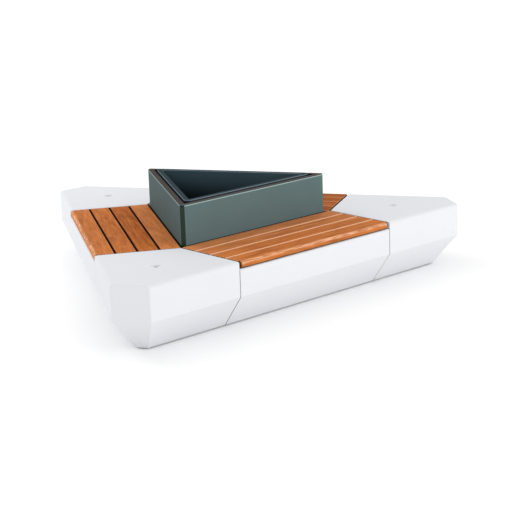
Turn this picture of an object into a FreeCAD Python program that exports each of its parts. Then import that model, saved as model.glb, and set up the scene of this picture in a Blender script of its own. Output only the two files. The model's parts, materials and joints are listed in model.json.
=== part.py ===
import FreeCAD, Part

import os

import Sketcher
from FreeCAD import Placement, Rotation, Vector

# Triangular public bench around a planter, in millimetres.
# Three corner blocks and three lower side blocks of cast stone stand in a ring.
# Each side block carries a seat of four boards on three steel bearers.
# A sheet-steel planter with a lift-out liner stands in the middle of the ring.
#
# Two local frames are used, both with their origin at the middle of the triangle on the ground.
# A side frame has the side's face looking along -Y: "depth" is the distance from the middle
# towards that face, and "along" is X. A corner frame has the corner straight ahead along +X.
# Each piece is drawn in one of them and then turned about Z to its place in the ring.

BOARDS_PER_SEAT = 4
BEARERS_PER_SEAT = 3
STUDS_PER_EDGE = 3
SIDES = {"front": 0, "right": 120, "left": 240}
CORNERS = {"front_right": -30, "rear": 90, "front_left": 210}

SIZES = [
    ("seat_height", 450, "ground to the top of the boards and corner blocks"),
    ("side_distance", 965, "middle of the triangle to each long face"),
    ("corner_cut", 222, "length cut off each sharp corner"),
    ("band_bottom", 223, "height where the upright band ends and the slope begins"),
    ("foot_inset", 160, "how far the slope comes in at its foot"),
    ("seam_gap", 4, "open joint between two blocks"),
    ("pad_height", 8, "bearing pad, and so the shadow gap at the ground"),
    ("crown_radius", 26, "top outer edges of a corner block"),
    ("facet_radius", 15, "upright edges of a corner block's blunt end"),
    ("band_radius", 8, "edge between the band and the slope"),
    ("arris_radius", 4, "small arrises of the cast blocks"),
    ("lip_radius", 14, "outer top edge of a side block's lip"),
    ("board_width", 133, "one seat board"),
    ("board_thickness", 44, "one seat board"),
    ("board_gap", 11, "open gap between two boards"),
    ("board_end_gap", 12, "board end to corner block"),
    ("board_edge_radius", 4, "long edges of a board"),
    ("board_end_radius", 2, "edges around a board's end"),
    ("board_nose_radius", 26, "front upper edge of the outer board"),
    ("board_nose_under", 14, "front lower edge of the outer board"),
    ("seat_back_gap", 12, "inner board to planter casing"),
    ("lip_width", 35, "front lip of a side block"),
    ("lip_clearance", 4, "lip to the underside of the outer board"),
    ("block_setback", 4, "inner face of a side block behind the inner board"),
    ("bearer_size", 40, "square tube under the boards"),
    ("bearer_wall", 3, "wall of the tube"),
    ("bearer_setback", 8, "bearer end to lip, and to the inner edge of the seat"),
    ("bearer_end_margin", 130, "outer bearer to the end of the boards"),
    ("screw_margin", 22, "inner edge of a board to its first screw"),
    ("screw_spacing", 50, "first to second screw of a board"),
    ("screw_radius", 2.5, "board screw"),
    ("screw_bite", 32, "screw in the board"),
    ("screw_head_radius", 5, "board screw"),
    ("screw_head_height", 3, "board screw"),
    ("screw_access_radius", 7, "hole in the tube's lower wall for the screw head"),
    ("anchor_radius", 4, "bearer anchor"),
    ("anchor_bite", 60, "anchor in the block"),
    ("anchor_head_radius", 6.5, "bearer anchor"),
    ("anchor_head_height", 8, "bearer anchor"),
    ("key_hole_radius", 5, "hole in the tube's upper wall for the anchor's key"),
    ("fit_clearance", 0.3, "pin or shank to its hole, on the radius"),
    ("hole_relief", 2, "blind hole beyond the end of what it holds"),
    ("dowel_radius", 10, "joint dowel"),
    ("dowel_half_length", 52, "joint dowel on each side of the seam"),
    ("dowel_inner_setback", 160, "lower dowel from the seat's inner edge"),
    ("dowel_outer_setback", 165, "upper dowel from the long face"),
    ("dowel_low", 150, "height of the lower dowel"),
    ("dowel_high", 300, "height of the upper dowel"),
    ("spacer_radius", 30, "spacer ring on a dowel"),
    ("pad_radius", 45, "bearing pad"),
    ("pad_margin", 95, "pad centre to the foot of a slope or to an inner face"),
    ("pad_end_margin", 75, "pad centre to a seam"),
    ("lift_setback", 446, "blunt end to the lifting socket"),
    ("lift_hollow_radius", 30, "round hollow over the lifting socket"),
    ("lift_hollow_depth", 8, "round hollow over the lifting socket"),
    ("lift_bore_radius", 10.2, "lifting socket, for a 20 mm lifting pin"),
    ("lift_wall", 5.5, "lifting socket"),
    ("lift_length", 90, "lifting socket"),
    ("planter_height", 722, "top of the planter casing"),
    ("planter_blunt", 31, "length cut off each sharp corner of the casing"),
    ("sheet", 3, "steel sheet of the casing and the liner"),
    ("casing_foot", 40, "lower edge of the casing above the ground"),
    ("flange_width", 43, "top flange of the casing"),
    ("flange_lip", 18, "turned-down edge of the top flange"),
    ("fold_radius", 10, "outside of the casing's top fold"),
    ("mitre_gap", 1, "open mitre between two flanges"),
    ("post_recess", 3, "corner post behind the ends of the panels"),
    ("post_wing", 45, "corner post behind each panel"),
    ("stud_radius", 3, "stud on the back of a panel"),
    ("stud_length", 14, "stud on the back of a panel"),
    ("stud_margin", 80, "outer studs to the lower and upper edge of the casing"),
    ("nut_radius", 5.8, "panel nut across its corners"),
    ("nut_height", 5, "panel nut"),
    ("rail_size", 40, "base rail angle"),
    ("rail_thickness", 4, "base rail angle"),
    ("tie_spread", 400, "middle of a side to the bolts that tie the planter to its block"),
    ("tie_radius", 6, "tie bolt"),
    ("tie_bite", 60, "tie bolt in the block"),
    ("tie_head_radius", 9, "tie bolt"),
    ("tie_head_height", 8, "tie bolt"),
    ("tie_sleeve_radius", 14, "spacer sleeve on a tie bolt"),
    ("foot_plate", 5, "plate in the lower end of a post"),
    ("foot_setback", 29, "levelling foot behind the blunt end of the casing"),
    ("foot_pad_radius", 30, "levelling foot"),
    ("foot_pad_height", 10, "levelling foot"),
    ("foot_stem_radius", 6, "levelling foot"),
    ("foot_stem_top", 72, "top of the stem above the ground"),
    ("foot_nut_radius", 10.5, "nut of a levelling foot across its corners"),
    ("foot_nut_height", 10, "nut of a levelling foot"),
    ("liner_gap", 7, "open gap between the casing's flange and the liner's rim"),
    ("liner_rim_width", 34, "rim of the liner"),
    ("liner_proud", 10, "rim above the casing"),
    ("liner_lip", 20, "turned-down edge of the rim"),
    ("rim_fold_radius", 4, "outside of the rim's fold"),
    ("liner_blunt", 40, "length cut off each sharp corner of the rim"),
    ("liner_depth", 450, "rim to the underside of the floor"),
    ("liner_corner_radius", 14, "upright edges of the tub"),
    ("liner_seat_clearance", 0.3, "floor of the liner above its brackets"),
    ("bracket_reach", 270, "liner bracket from the post towards the middle"),
    ("bracket_width", 60, "liner bracket"),
    ("bracket_nose", 24, "liner bracket where it meets the post"),
    ("bracket_taper", 50, "length over which the bracket narrows"),
    ("bracket_thickness", 5, "liner bracket plate and web"),
    ("bracket_drop", 60, "web of the bracket at the post"),
    ("bracket_tip", 15, "web of the bracket at its free end"),
    ("drain_bore_radius", 10, "drain fitting"),
    ("drain_stem_radius", 15, "drain fitting"),
    ("drain_stem_length", 30, "drain fitting below the liner's floor"),
    ("drain_flange_radius", 26, "drain fitting"),
    ("drain_flange_height", 4, "drain fitting"),
    ("drain_nut_radius", 24, "drain nut across its corners"),
    ("drain_nut_height", 8, "drain nut"),
]

# Sizes that follow from the driving ones.
LAYOUT = [
    ("side_cos", "cos(60deg)"),
    ("side_sin", "sin(60deg)"),
    ("corner_distance", "2 * Sizes.side_distance - Sizes.corner_cut"),
    ("centre_shift", "(Layout.corner_distance - Sizes.side_distance) / 2"),
    ("foot_distance", "Sizes.side_distance - Sizes.foot_inset"),
    ("foot_corner_distance", "Layout.corner_distance - Sizes.foot_inset"),
    ("board_pitch", "Sizes.board_width + Sizes.board_gap"),
    ("seat_inner", f"Sizes.side_distance - {BOARDS_PER_SEAT} * Layout.board_pitch + Sizes.board_gap"),
    ("seat_half_length", "Layout.seat_inner * Layout.side_sin / Layout.side_cos"),
    ("seam_corner", "Layout.seat_half_length + Sizes.seam_gap / 2"),
    ("seam_side", "Layout.seat_half_length - Sizes.seam_gap / 2"),
    ("board_underside", "Sizes.seat_height - Sizes.board_thickness"),
    ("board_half_length", "Layout.seam_corner - Sizes.board_end_gap"),
    ("lip_top", "Layout.board_underside - Sizes.lip_clearance"),
    ("lip_inner", "Sizes.side_distance - Sizes.lip_width"),
    ("recess_floor", "Layout.board_underside - Sizes.bearer_size"),
    ("block_inner", "Layout.seat_inner + Sizes.block_setback"),
    ("bearer_inner", "Layout.seat_inner + Sizes.bearer_setback"),
    ("bearer_outer", "Layout.lip_inner - Sizes.bearer_setback"),
    ("bearer_spread", "Layout.board_half_length - Sizes.bearer_end_margin"),
    ("screw_hole_radius", "Sizes.screw_radius + Sizes.fit_clearance"),
    ("screw_first", "Layout.seat_inner + Sizes.screw_margin"),
    ("anchor_hole_radius", "Sizes.anchor_radius + Sizes.fit_clearance"),
    ("anchor_first", "Layout.seat_inner + Sizes.board_width + Sizes.board_gap / 2"),
    ("dowel_inner", "Layout.seat_inner + Sizes.dowel_inner_setback"),
    ("dowel_outer", "Sizes.side_distance - Sizes.dowel_outer_setback"),
    ("dowel_hole_radius", "Sizes.dowel_radius + Sizes.fit_clearance"),
    ("dowel_hole_length", "Sizes.dowel_half_length + Sizes.hole_relief"),
    ("pad_outer", "Layout.foot_distance - Sizes.pad_margin"),
    ("pad_inner", "Layout.block_inner + Sizes.pad_margin"),
    ("pad_corner_along", "Layout.seam_corner + Sizes.pad_end_margin"),
    ("pad_side_along", "Layout.seam_side - 2 * Sizes.pad_end_margin"),
    ("pad_tip", "Layout.foot_corner_distance - Sizes.pad_margin"),
    ("lift_centre", "Layout.corner_distance - Sizes.lift_setback"),
    ("lift_floor", "Sizes.seat_height - Sizes.lift_hollow_depth"),
    ("lift_outer_radius", "Sizes.lift_bore_radius + Sizes.lift_wall"),
    ("planter_distance", "Layout.seat_inner - Sizes.seat_back_gap"),
    ("planter_corner", "2 * Layout.planter_distance - Sizes.planter_blunt"),
    ("panel_half_length",
     "(Layout.planter_corner - Layout.planter_distance * Layout.side_cos) / Layout.side_sin"),
    ("panel_back", "Layout.planter_distance - Sizes.sheet"),
    ("flange_inner", "Layout.planter_distance - Sizes.flange_width"),
    ("flange_under", "Sizes.planter_height - Sizes.sheet"),
    ("wing_back", "Layout.panel_back - Sizes.sheet"),
    ("post_top", "Layout.flange_under - Sizes.fold_radius + Sizes.sheet"),
    ("post_face", "Layout.planter_corner - Sizes.post_recess"),
    ("post_back", "Layout.post_face - Sizes.sheet"),
    ("post_face_half",
     "(Layout.panel_back - Layout.post_face * Layout.side_cos) / Layout.side_sin"),
    ("post_back_half",
     "(Layout.wing_back - Layout.post_back * Layout.side_cos) / Layout.side_sin"),
    ("wing_start",
     "Layout.post_face * Layout.side_sin - Layout.post_face_half * Layout.side_cos"),
    ("wing_end", "Layout.wing_start - Sizes.post_wing"),
    ("stud_along", "(Layout.wing_start + Layout.wing_end) / 2"),
    ("stud_low", "Sizes.casing_foot + Sizes.stud_margin"),
    ("stud_span", "Sizes.planter_height - Sizes.stud_margin - Layout.stud_low"),
    ("stud_hole_radius", "Sizes.stud_radius + Sizes.fit_clearance"),
    ("tie_seat", "Layout.panel_back - Sizes.rail_thickness"),
    ("tie_level", "Sizes.casing_foot + (Sizes.rail_thickness + Sizes.rail_size) / 2"),
    ("tie_hole_radius", "Sizes.tie_radius + Sizes.fit_clearance"),
    ("foot_centre", "Layout.planter_corner - Sizes.foot_setback"),
    ("foot_hole_radius", "Sizes.foot_stem_radius + Sizes.fit_clearance"),
    ("liner_outer", "Layout.flange_inner - Sizes.liner_gap"),
    ("liner_corner", "2 * Layout.liner_outer - Sizes.liner_blunt"),
    ("liner_inner", "Layout.liner_outer - Sizes.liner_rim_width"),
    ("liner_wall_outer", "Layout.liner_inner + Sizes.sheet"),
    ("liner_top", "Sizes.planter_height + Sizes.liner_proud"),
    ("liner_bottom", "Layout.liner_top - Sizes.liner_depth"),
    ("bracket_top", "Layout.liner_bottom - Sizes.liner_seat_clearance"),
    ("bracket_end", "Layout.post_back - Sizes.bracket_reach"),
    ("drain_hole_radius", "Sizes.drain_stem_radius + Sizes.fit_clearance"),
]

doc = FreeCAD.newDocument("PlanterBench")


# The spreadsheets

def fill_sheet(name, rows):
    """Write one row for each named value and return the sheet."""
    sheet = doc.addObject("Spreadsheet::Sheet", name)
    for number, row in enumerate(rows, start=1):
        alias, content = row[0], row[1]
        sheet.set(f"A{number}", alias)
        sheet.set(f"B{number}", str(content))
        sheet.setAlias(f"B{number}", alias)
        if len(row) > 2:
            sheet.set(f"C{number}", row[2])
    return sheet


sizes = fill_sheet("Sizes", SIZES)
layout = fill_sheet("Layout", [(alias, "=" + formula) for alias, formula in LAYOUT])
doc.recompute()


# Small tools for bodies, sketches and features

parts = []


def new_body(label, turn=0):
    """A body drawn about the middle of the triangle and turned to its place in the ring."""
    body = doc.addObject("PartDesign::Body", label)
    body.Label = label
    body.Placement = Placement(Vector(0, 0, 0), Rotation(Vector(0, 0, 1), turn))
    body.setExpression("Placement.Base.y", "-Layout.centre_shift")
    parts.append(body)
    return body


def origin_item(body, role):
    """One of the body's own origin planes or axes."""
    return next(item for item in body.Origin.OriginFeatures if item.Role == role)


def value(formula):
    """The number that a formula gives now."""
    return float(sizes.evalExpression(formula))


def bind(target, path, formula):
    target.setExpression(path, str(formula))


def new_sketch(body, name, plane, offset):
    """A sketch on an origin plane, moved along the plane's normal by a formula."""
    sketch = body.newObject("Sketcher::SketchObject", name)
    sketch.AttachmentSupport = [(origin_item(body, plane), "")]
    sketch.MapMode = "FlatFace"
    bind(sketch, "AttachmentOffset.Base.z", offset)
    return sketch


def add_outline(sketch, points):
    """A closed outline whose corners are bound to pairs of formulas."""
    places = [Vector(value(x), value(y), 0) for x, y in points]
    first = sketch.GeometryCount
    count = len(places)
    for index, place in enumerate(places):
        sketch.addGeometry(Part.LineSegment(place, places[(index + 1) % count]))
    for index in range(count):
        following = first + (index + 1) % count
        sketch.addConstraint(Sketcher.Constraint("Coincident", first + index, 2, following, 1))
    for index, (x, y) in enumerate(points):
        for kind, formula, now in (("DistanceX", x, places[index].x), ("DistanceY", y, places[index].y)):
            number = sketch.addConstraint(Sketcher.Constraint(kind, -1, 1, first + index, 1, now))
            bind(sketch, f"Constraints[{number}]", formula)


def add_circle(sketch, x, y, radius):
    """A circle whose centre and radius are bound to formulas."""
    centre = Vector(value(x), value(y), 0)
    circle = sketch.addGeometry(Part.Circle(centre, Vector(0, 0, 1), value(radius)))
    bound = (
        (Sketcher.Constraint("DistanceX", -1, 1, circle, 3, centre.x), x),
        (Sketcher.Constraint("DistanceY", -1, 1, circle, 3, centre.y), y),
        (Sketcher.Constraint("Radius", circle, value(radius)), radius),
    )
    for constraint, formula in bound:
        number = sketch.addConstraint(constraint)
        bind(sketch, f"Constraints[{number}]", formula)


def pad(body, name, sketch, length, symmetric=False, reverse=False):
    feature = body.newObject("PartDesign::Pad", name)
    feature.Profile = sketch
    feature.Midplane = symmetric
    feature.Reversed = reverse
    bind(feature, "Length", length)
    return feature


def pocket(body, name, sketch, length, reverse=False):
    feature = body.newObject("PartDesign::Pocket", name)
    feature.Profile = sketch
    feature.Reversed = reverse
    bind(feature, "Length", length)
    return feature


def cylinder(body, name, radius, length, place, turn, cuts=False):
    """A round bar, or a round hole, from a place along the Z axis turned by a rotation."""
    kind = "PartDesign::SubtractiveCylinder" if cuts else "PartDesign::AdditiveCylinder"
    feature = body.newObject(kind, name)
    feature.AttachmentSupport = [(origin_item(body, "XY_Plane"), "")]
    feature.MapMode = "FlatFace"
    feature.AttachmentOffset = Placement(Vector(0, 0, 0), turn)
    for axis, formula in zip("xyz", place):
        bind(feature, f"AttachmentOffset.Base.{axis}", formula)
    bind(feature, "Radius", radius)
    bind(feature, "Height", length)
    return feature


def turned(body, name, outline, place, turn):
    """A turned piece: pairs of radius and height about the Z axis turned by a rotation."""
    sketch = body.newObject("Sketcher::SketchObject", f"{name}_outline")
    sketch.AttachmentSupport = [(origin_item(body, "XY_Plane"), "")]
    sketch.MapMode = "FlatFace"
    sketch.AttachmentOffset = Placement(Vector(0, 0, 0), turn.multiply(Rotation(Vector(1, 0, 0), 90)))
    for axis, formula in zip("xyz", place):
        bind(sketch, f"AttachmentOffset.Base.{axis}", formula)
    add_outline(sketch, outline)
    feature = body.newObject("PartDesign::Revolution", name)
    feature.Profile = sketch
    feature.ReferenceAxis = (sketch, ["V_Axis"])
    return feature


def headed(head_radius, head_height, radius, length):
    """The outline of a bolt that stands on its head."""
    return [
        ("0", "0"),
        (head_radius, "0"),
        (head_radius, head_height),
        (radius, head_height),
        (radius, f"{head_height} + {length}"),
        ("0", f"{head_height} + {length}"),
    ]


UP = Rotation()
DOWN = Rotation(Vector(1, 0, 0), 180)
OUTWARD = Rotation(Vector(1, 0, 0), 90)
ALONG = Rotation(Vector(0, 1, 0), 90)


def into_corner(hand):
    """In a corner frame, the way from a side's seam into the corner block."""
    return Rotation(Vector(0, 0, 1), -30 * hand).multiply(ALONG)


def towards_side(hand):
    """In a corner frame, the way out through the face of the side on one hand."""
    return Rotation(Vector(0, 0, 1), 60 * hand).multiply(ALONG)


def linear(body, name, axis, length, count):
    """One step of a pattern, in a row along an axis."""
    step = body.newObject("PartDesign::LinearPattern", name)
    step.Direction = (origin_item(body, axis), [""])
    bind(step, "Length", length)
    step.Occurrences = count
    return step


def polar(body, name):
    """One step of a pattern, once for each side of the triangle."""
    step = body.newObject("PartDesign::PolarPattern", name)
    step.Axis = (origin_item(body, "Z_Axis"), [""])
    step.Angle = 360
    step.Occurrences = len(SIDES)
    return step


def mirror(body, name, plane):
    """One step of a pattern, across an origin plane."""
    step = body.newObject("PartDesign::Mirrored", name)
    step.MirrorPlane = (origin_item(body, plane), [""])
    return step


def repeat(body, name, original, steps):
    """Repeat a feature by one or more pattern steps."""
    feature = body.newObject("PartDesign::MultiTransform", name)
    feature.Originals = [original]
    feature.Transformations = steps
    body.Tip = feature
    return feature


def fillet(body, name, radius, chosen):
    """Round the edges of the body's last feature that a test chooses."""
    doc.recompute()
    base = body.Tip
    edges = [f"Edge{number}" for number, edge in enumerate(base.Shape.Edges, start=1) if chosen(edge)]
    if not edges:
        raise RuntimeError(f"{body.Label}: no edge for {name}")
    feature = body.newObject("PartDesign::Fillet", name)
    feature.Base = (base, edges)
    bind(feature, "Radius", radius)
    return feature


# Tests that choose edges

def near(one, other, slack=0.01):
    return abs(one - other) < slack


def is_upright(edge):
    box = edge.BoundBox
    return box.XLength < 0.01 and box.YLength < 0.01


def distance(edge):
    """From the upright line through the middle of the triangle to the middle of an edge."""
    centre = edge.CenterOfMass
    return (centre.x ** 2 + centre.y ** 2) ** 0.5


def is_along(edge):
    box = edge.BoundBox
    return box.YLength < 0.01 and box.ZLength < 0.01


def lies_at_height(edge, height):
    box = edge.BoundBox
    return near(box.ZMin, height) and near(box.ZMax, height)


# Where a point of a side frame lies in a corner frame

def corner_point(depth, along, hand):
    """A place given by depth and along of the side on one hand, as corner-frame formulas."""
    x = f"({depth}) * Layout.side_cos + ({along}) * Layout.side_sin"
    y = f"{hand} * (({depth}) * Layout.side_sin - ({along}) * Layout.side_cos)"
    return x, y


def blunt_point(distance, depth, hand):
    """The end of a blunt corner at a distance, on the side face at a depth."""
    half = f"{hand} * (({depth}) - ({distance}) * Layout.side_cos) / Layout.side_sin"
    return distance, half


def ring_outline(depth, corner):
    """A triangle with blunt corners, as formulas in the frame of the whole ring."""
    half = f"(({corner}) - ({depth}) * Layout.side_cos) / Layout.side_sin"
    points = []
    for cosine, sine in (("1", "0"), ("-Layout.side_cos", "Layout.side_sin"),
                         ("-Layout.side_cos", "-Layout.side_sin")):
        for hand in (-1, 1):
            along = f"({hand} * {half})"
            x = f"{along} * ({cosine}) + ({depth}) * ({sine})"
            y = f"{along} * ({sine}) - ({depth}) * ({cosine})"
            points.append((x, y))
    return points


def triangle_outline(depth):
    """A triangle with sharp corners, as formulas in the frame of the whole ring."""
    reach = f"({depth}) * Layout.side_sin / Layout.side_cos"
    return [(f"-({reach})", f"-({depth})"), (reach, f"-({depth})"), ("0", f"2 * ({depth})")]


# Cast-stone blocks

DOWEL_PLACES = (("low", "Layout.dowel_inner", "Sizes.dowel_low"),
                ("high", "Layout.dowel_outer", "Sizes.dowel_high"))


def corner_block(name, turn):
    """A corner block: sloped foot, upright band, rounded arrises, holes for dowels and lifting."""
    body = new_body(f"corner_block_{name}", turn)

    def outline(face, blunt):
        inner = ("Layout.seam_corner / Layout.side_sin", "0")
        return [
            inner,
            corner_point(face, "Layout.seam_corner", -1),
            blunt_point(blunt, face, -1),
            blunt_point(blunt, face, 1),
            corner_point(face, "Layout.seam_corner", 1),
        ]

    foot = new_sketch(body, f"{name}_foot_outline", "XY_Plane", "Sizes.pad_height")
    add_outline(foot, outline("Layout.foot_distance", "Layout.foot_corner_distance"))
    band = new_sketch(body, f"{name}_band_outline", "XY_Plane", "Sizes.band_bottom")
    add_outline(band, outline("Sizes.side_distance", "Layout.corner_distance"))
    slope = body.newObject("PartDesign::AdditiveLoft", f"{name}_slope")
    slope.Profile = foot
    slope.Sections = [band]
    slope.Ruled = True
    pad(body, f"{name}_band", band, "Sizes.seat_height - Sizes.band_bottom")

    band_bottom = value("Sizes.band_bottom")
    top = value("Sizes.seat_height")
    foot_level = value("Sizes.pad_height")
    seam = value("Layout.seam_corner")
    sine = value("Layout.side_sin")
    cosine = value("Layout.side_cos")
    near_blunt = value("Layout.foot_corner_distance")

    def along_of(point):
        return point.x * sine - abs(point.y) * cosine

    def on_seam(edge):
        return all(near(along_of(vertex.Point), seam) for vertex in edge.Vertexes)

    def is_facet_edge(edge):
        """An edge down the blunt end: it joins different heights, away from the seams."""
        first, last = edge.Vertexes[0].Point, edge.Vertexes[-1].Point
        return abs(first.z - last.z) > 1 and edge.CenterOfMass.x > near_blunt

    fillet(body, f"{name}_band_edge", "Sizes.band_radius",
           lambda edge: lies_at_height(edge, band_bottom) and not on_seam(edge))
    fillet(body, f"{name}_facet_edges", "Sizes.facet_radius", is_facet_edge)
    fillet(body, f"{name}_crown", "Sizes.crown_radius",
           lambda edge: lies_at_height(edge, top) and not on_seam(edge))
    fillet(body, f"{name}_seam_arrises", "Sizes.arris_radius",
           lambda edge: on_seam(edge) and not near(edge.BoundBox.ZMin, foot_level)
           and not (is_upright(edge) and near(edge.CenterOfMass.y, 0)))

    for label, depth, height in DOWEL_PLACES:
        x, y = corner_point(depth, "Layout.seam_corner", 1)
        hole = cylinder(body, f"{name}_dowel_hole_{label}", "Layout.dowel_hole_radius",
                        "Layout.dowel_hole_length", (x, y, height), into_corner(1), cuts=True)
        across = mirror(body, f"{name}_other_seam_{label}", "XZ_Plane")
        repeat(body, f"{name}_dowel_holes_{label}", hole, [across])
    cylinder(body, f"{name}_lift_hollow", "Sizes.lift_hollow_radius", "Sizes.lift_hollow_depth",
             ("Layout.lift_centre", "0", "Layout.lift_floor"), UP, cuts=True)
    cylinder(body, f"{name}_lift_hole", "Layout.lift_outer_radius + Sizes.fit_clearance",
             "Sizes.lift_length", ("Layout.lift_centre", "0", "Layout.lift_floor - Sizes.lift_length"),
             UP, cuts=True)
    return body


def side_block(name, turn):
    """A side block: sloped foot, upright band, front lip and a recess for the bearers."""
    body = new_body(f"side_block_{name}", turn)
    section = new_sketch(body, f"{name}_section", "YZ_Plane", "0")
    add_outline(section, [
        ("-Layout.foot_distance", "Sizes.pad_height"),
        ("-Sizes.side_distance", "Sizes.band_bottom"),
        ("-Sizes.side_distance", "Layout.lip_top"),
        ("-Layout.lip_inner", "Layout.lip_top"),
        ("-Layout.lip_inner", "Layout.recess_floor"),
        ("-Layout.block_inner", "Layout.recess_floor"),
        ("-Layout.block_inner", "Sizes.pad_height"),
    ])
    pad(body, f"{name}_block", section, "2 * Layout.seam_side", symmetric=True)

    end = value("Layout.seam_side")
    face = -value("Sizes.side_distance")
    band_bottom = value("Sizes.band_bottom")
    lip_top = value("Layout.lip_top")

    fillet(body, f"{name}_band_edge", "Sizes.band_radius",
           lambda edge: lies_at_height(edge, band_bottom) and edge.BoundBox.XLength > end)
    fillet(body, f"{name}_lip_edge", "Sizes.lip_radius",
           lambda edge: lies_at_height(edge, lip_top) and near(edge.CenterOfMass.y, face))

    foot_front = -value("Layout.foot_distance")

    def end_arris(edge):
        """An edge of either end that can be seen from outside."""
        box = edge.BoundBox
        return box.XLength < 0.01 and near(abs(box.XMin), end) and box.YMax < foot_front + 1

    fillet(body, f"{name}_end_arrises", "Sizes.arris_radius", end_arris)

    for label, depth, height in DOWEL_PLACES:
        place = ("Layout.seam_side - Layout.dowel_hole_length", f"-{depth}", height)
        hole = cylinder(body, f"{name}_dowel_hole_{label}", "Layout.dowel_hole_radius",
                        "Layout.dowel_hole_length", place, ALONG, cuts=True)
        across = mirror(body, f"{name}_other_end_{label}", "YZ_Plane")
        repeat(body, f"{name}_dowel_holes_{label}", hole, [across])

    depth_of_hole = "(Sizes.anchor_bite + Sizes.hole_relief)"
    anchor_hole = cylinder(body, f"{name}_anchor_hole", "Layout.anchor_hole_radius", depth_of_hole,
                           ("-Layout.bearer_spread", "-Layout.anchor_first",
                            f"Layout.recess_floor - {depth_of_hole}"), UP, cuts=True)
    row = linear(body, f"{name}_anchor_row", "X_Axis", "2 * Layout.bearer_spread", BEARERS_PER_SEAT)
    pair = linear(body, f"{name}_anchor_pair", "Y_Axis", "2 * Layout.board_pitch", 2)
    pair.Reversed = True
    repeat(body, f"{name}_anchor_holes", anchor_hole, [row, pair])

    tie_hole = cylinder(body, f"{name}_tie_hole", "Layout.tie_hole_radius",
                        "Sizes.tie_bite + Sizes.hole_relief",
                        ("Sizes.tie_spread", "-Layout.block_inner", "Layout.tie_level"), OUTWARD, cuts=True)
    repeat(body, f"{name}_tie_holes", tie_hole, [mirror(body, f"{name}_tie_hole_mirror", "YZ_Plane")])
    return body


# Seats

def seat_board(name, turn, number):
    """A seat board, counted from the outer one, which has the rounded nose."""
    body = new_body(f"seat_board_{name}_{number}", turn)
    outer = f"(Sizes.side_distance - {number - 1} * Layout.board_pitch)"
    inner = f"({outer} - Sizes.board_width)"
    section = new_sketch(body, f"{name}_{number}_section", "YZ_Plane", "0")
    add_outline(section, [
        (f"-{outer}", "Layout.board_underside"),
        (f"-{inner}", "Layout.board_underside"),
        (f"-{inner}", "Sizes.seat_height"),
        (f"-{outer}", "Sizes.seat_height"),
    ])
    pad(body, f"{name}_{number}_length", section, "2 * Layout.board_half_length", symmetric=True)

    top = value("Sizes.seat_height")
    underside = value("Layout.board_underside")
    front = -value(outer)
    back = -value(inner)

    def lies_at(edge, y, z):
        return is_along(edge) and near(edge.CenterOfMass.y, y) and lies_at_height(edge, z)

    is_nosed = number == 1
    fillet(body, f"{name}_{number}_edges", "Sizes.board_edge_radius",
           lambda edge: lies_at(edge, back, top) or (lies_at(edge, front, top) and not is_nosed))
    if is_nosed:
        fillet(body, f"{name}_nose", "Sizes.board_nose_radius", lambda edge: lies_at(edge, front, top))
        fillet(body, f"{name}_nose_under", "Sizes.board_nose_under",
               lambda edge: lies_at(edge, front, underside))
    fillet(body, f"{name}_{number}_ends", "Sizes.board_end_radius",
           lambda edge: edge.BoundBox.XLength < 0.01 and not lies_at_height(edge, underside))

    first_screw = f"-({inner} + Sizes.screw_margin)"
    hole = cylinder(body, f"{name}_{number}_screw_hole", "Layout.screw_hole_radius",
                    "Sizes.screw_bite + Sizes.hole_relief",
                    ("-Layout.bearer_spread", first_screw, "Layout.board_underside"), UP, cuts=True)
    row = linear(body, f"{name}_{number}_row", "X_Axis", "2 * Layout.bearer_spread", BEARERS_PER_SEAT)
    pair = linear(body, f"{name}_{number}_pair", "Y_Axis", "Sizes.screw_spacing", 2)
    pair.Reversed = True
    repeat(body, f"{name}_{number}_screw_holes", hole, [row, pair])
    return body


def seat_bearer(name, turn, number):
    """A square tube that carries the four boards of a seat."""
    body = new_body(f"seat_bearer_{name}_{number}", turn)
    centre = f"({number - 2} * Layout.bearer_spread)"
    label = f"{name}_{number}_bearer"
    section = new_sketch(body, f"{label}_section", "XZ_Plane", "Layout.bearer_inner")

    def square(side, low):
        half = f"({side}) / 2"
        return [(f"{centre} - {half}", low), (f"{centre} + {half}", low),
                (f"{centre} + {half}", f"{low} + ({side})"), (f"{centre} - {half}", f"{low} + ({side})")]

    add_outline(section, square("Sizes.bearer_size", "Layout.recess_floor"))
    add_outline(section, square("Sizes.bearer_size - 2 * Sizes.bearer_wall",
                                "(Layout.recess_floor + Sizes.bearer_wall)"))
    pad(body, f"{label}_tube", section, "Layout.bearer_outer - Layout.bearer_inner")

    holes = {
        "upper": ("Layout.board_underside - Sizes.bearer_wall", "Layout.screw_hole_radius",
                  "Sizes.key_hole_radius"),
        "lower": ("Layout.recess_floor", "Sizes.screw_access_radius", "Layout.anchor_hole_radius"),
    }
    for wall, (level, at_screw, at_anchor) in holes.items():
        outline = new_sketch(body, f"{label}_{wall}_holes", "XY_Plane", level)
        for index in range(BOARDS_PER_SEAT):
            first = f"Layout.screw_first + {index} * Layout.board_pitch"
            for depth in (first, f"{first} + Sizes.screw_spacing"):
                add_circle(outline, centre, f"-({depth})", at_screw)
        for index in range(2):
            add_circle(outline, centre, f"-(Layout.anchor_first + {2 * index} * Layout.board_pitch)",
                       at_anchor)
        pocket(body, f"{label}_{wall}_drilled", outline, "Sizes.bearer_wall", reverse=True)
    return body


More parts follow.
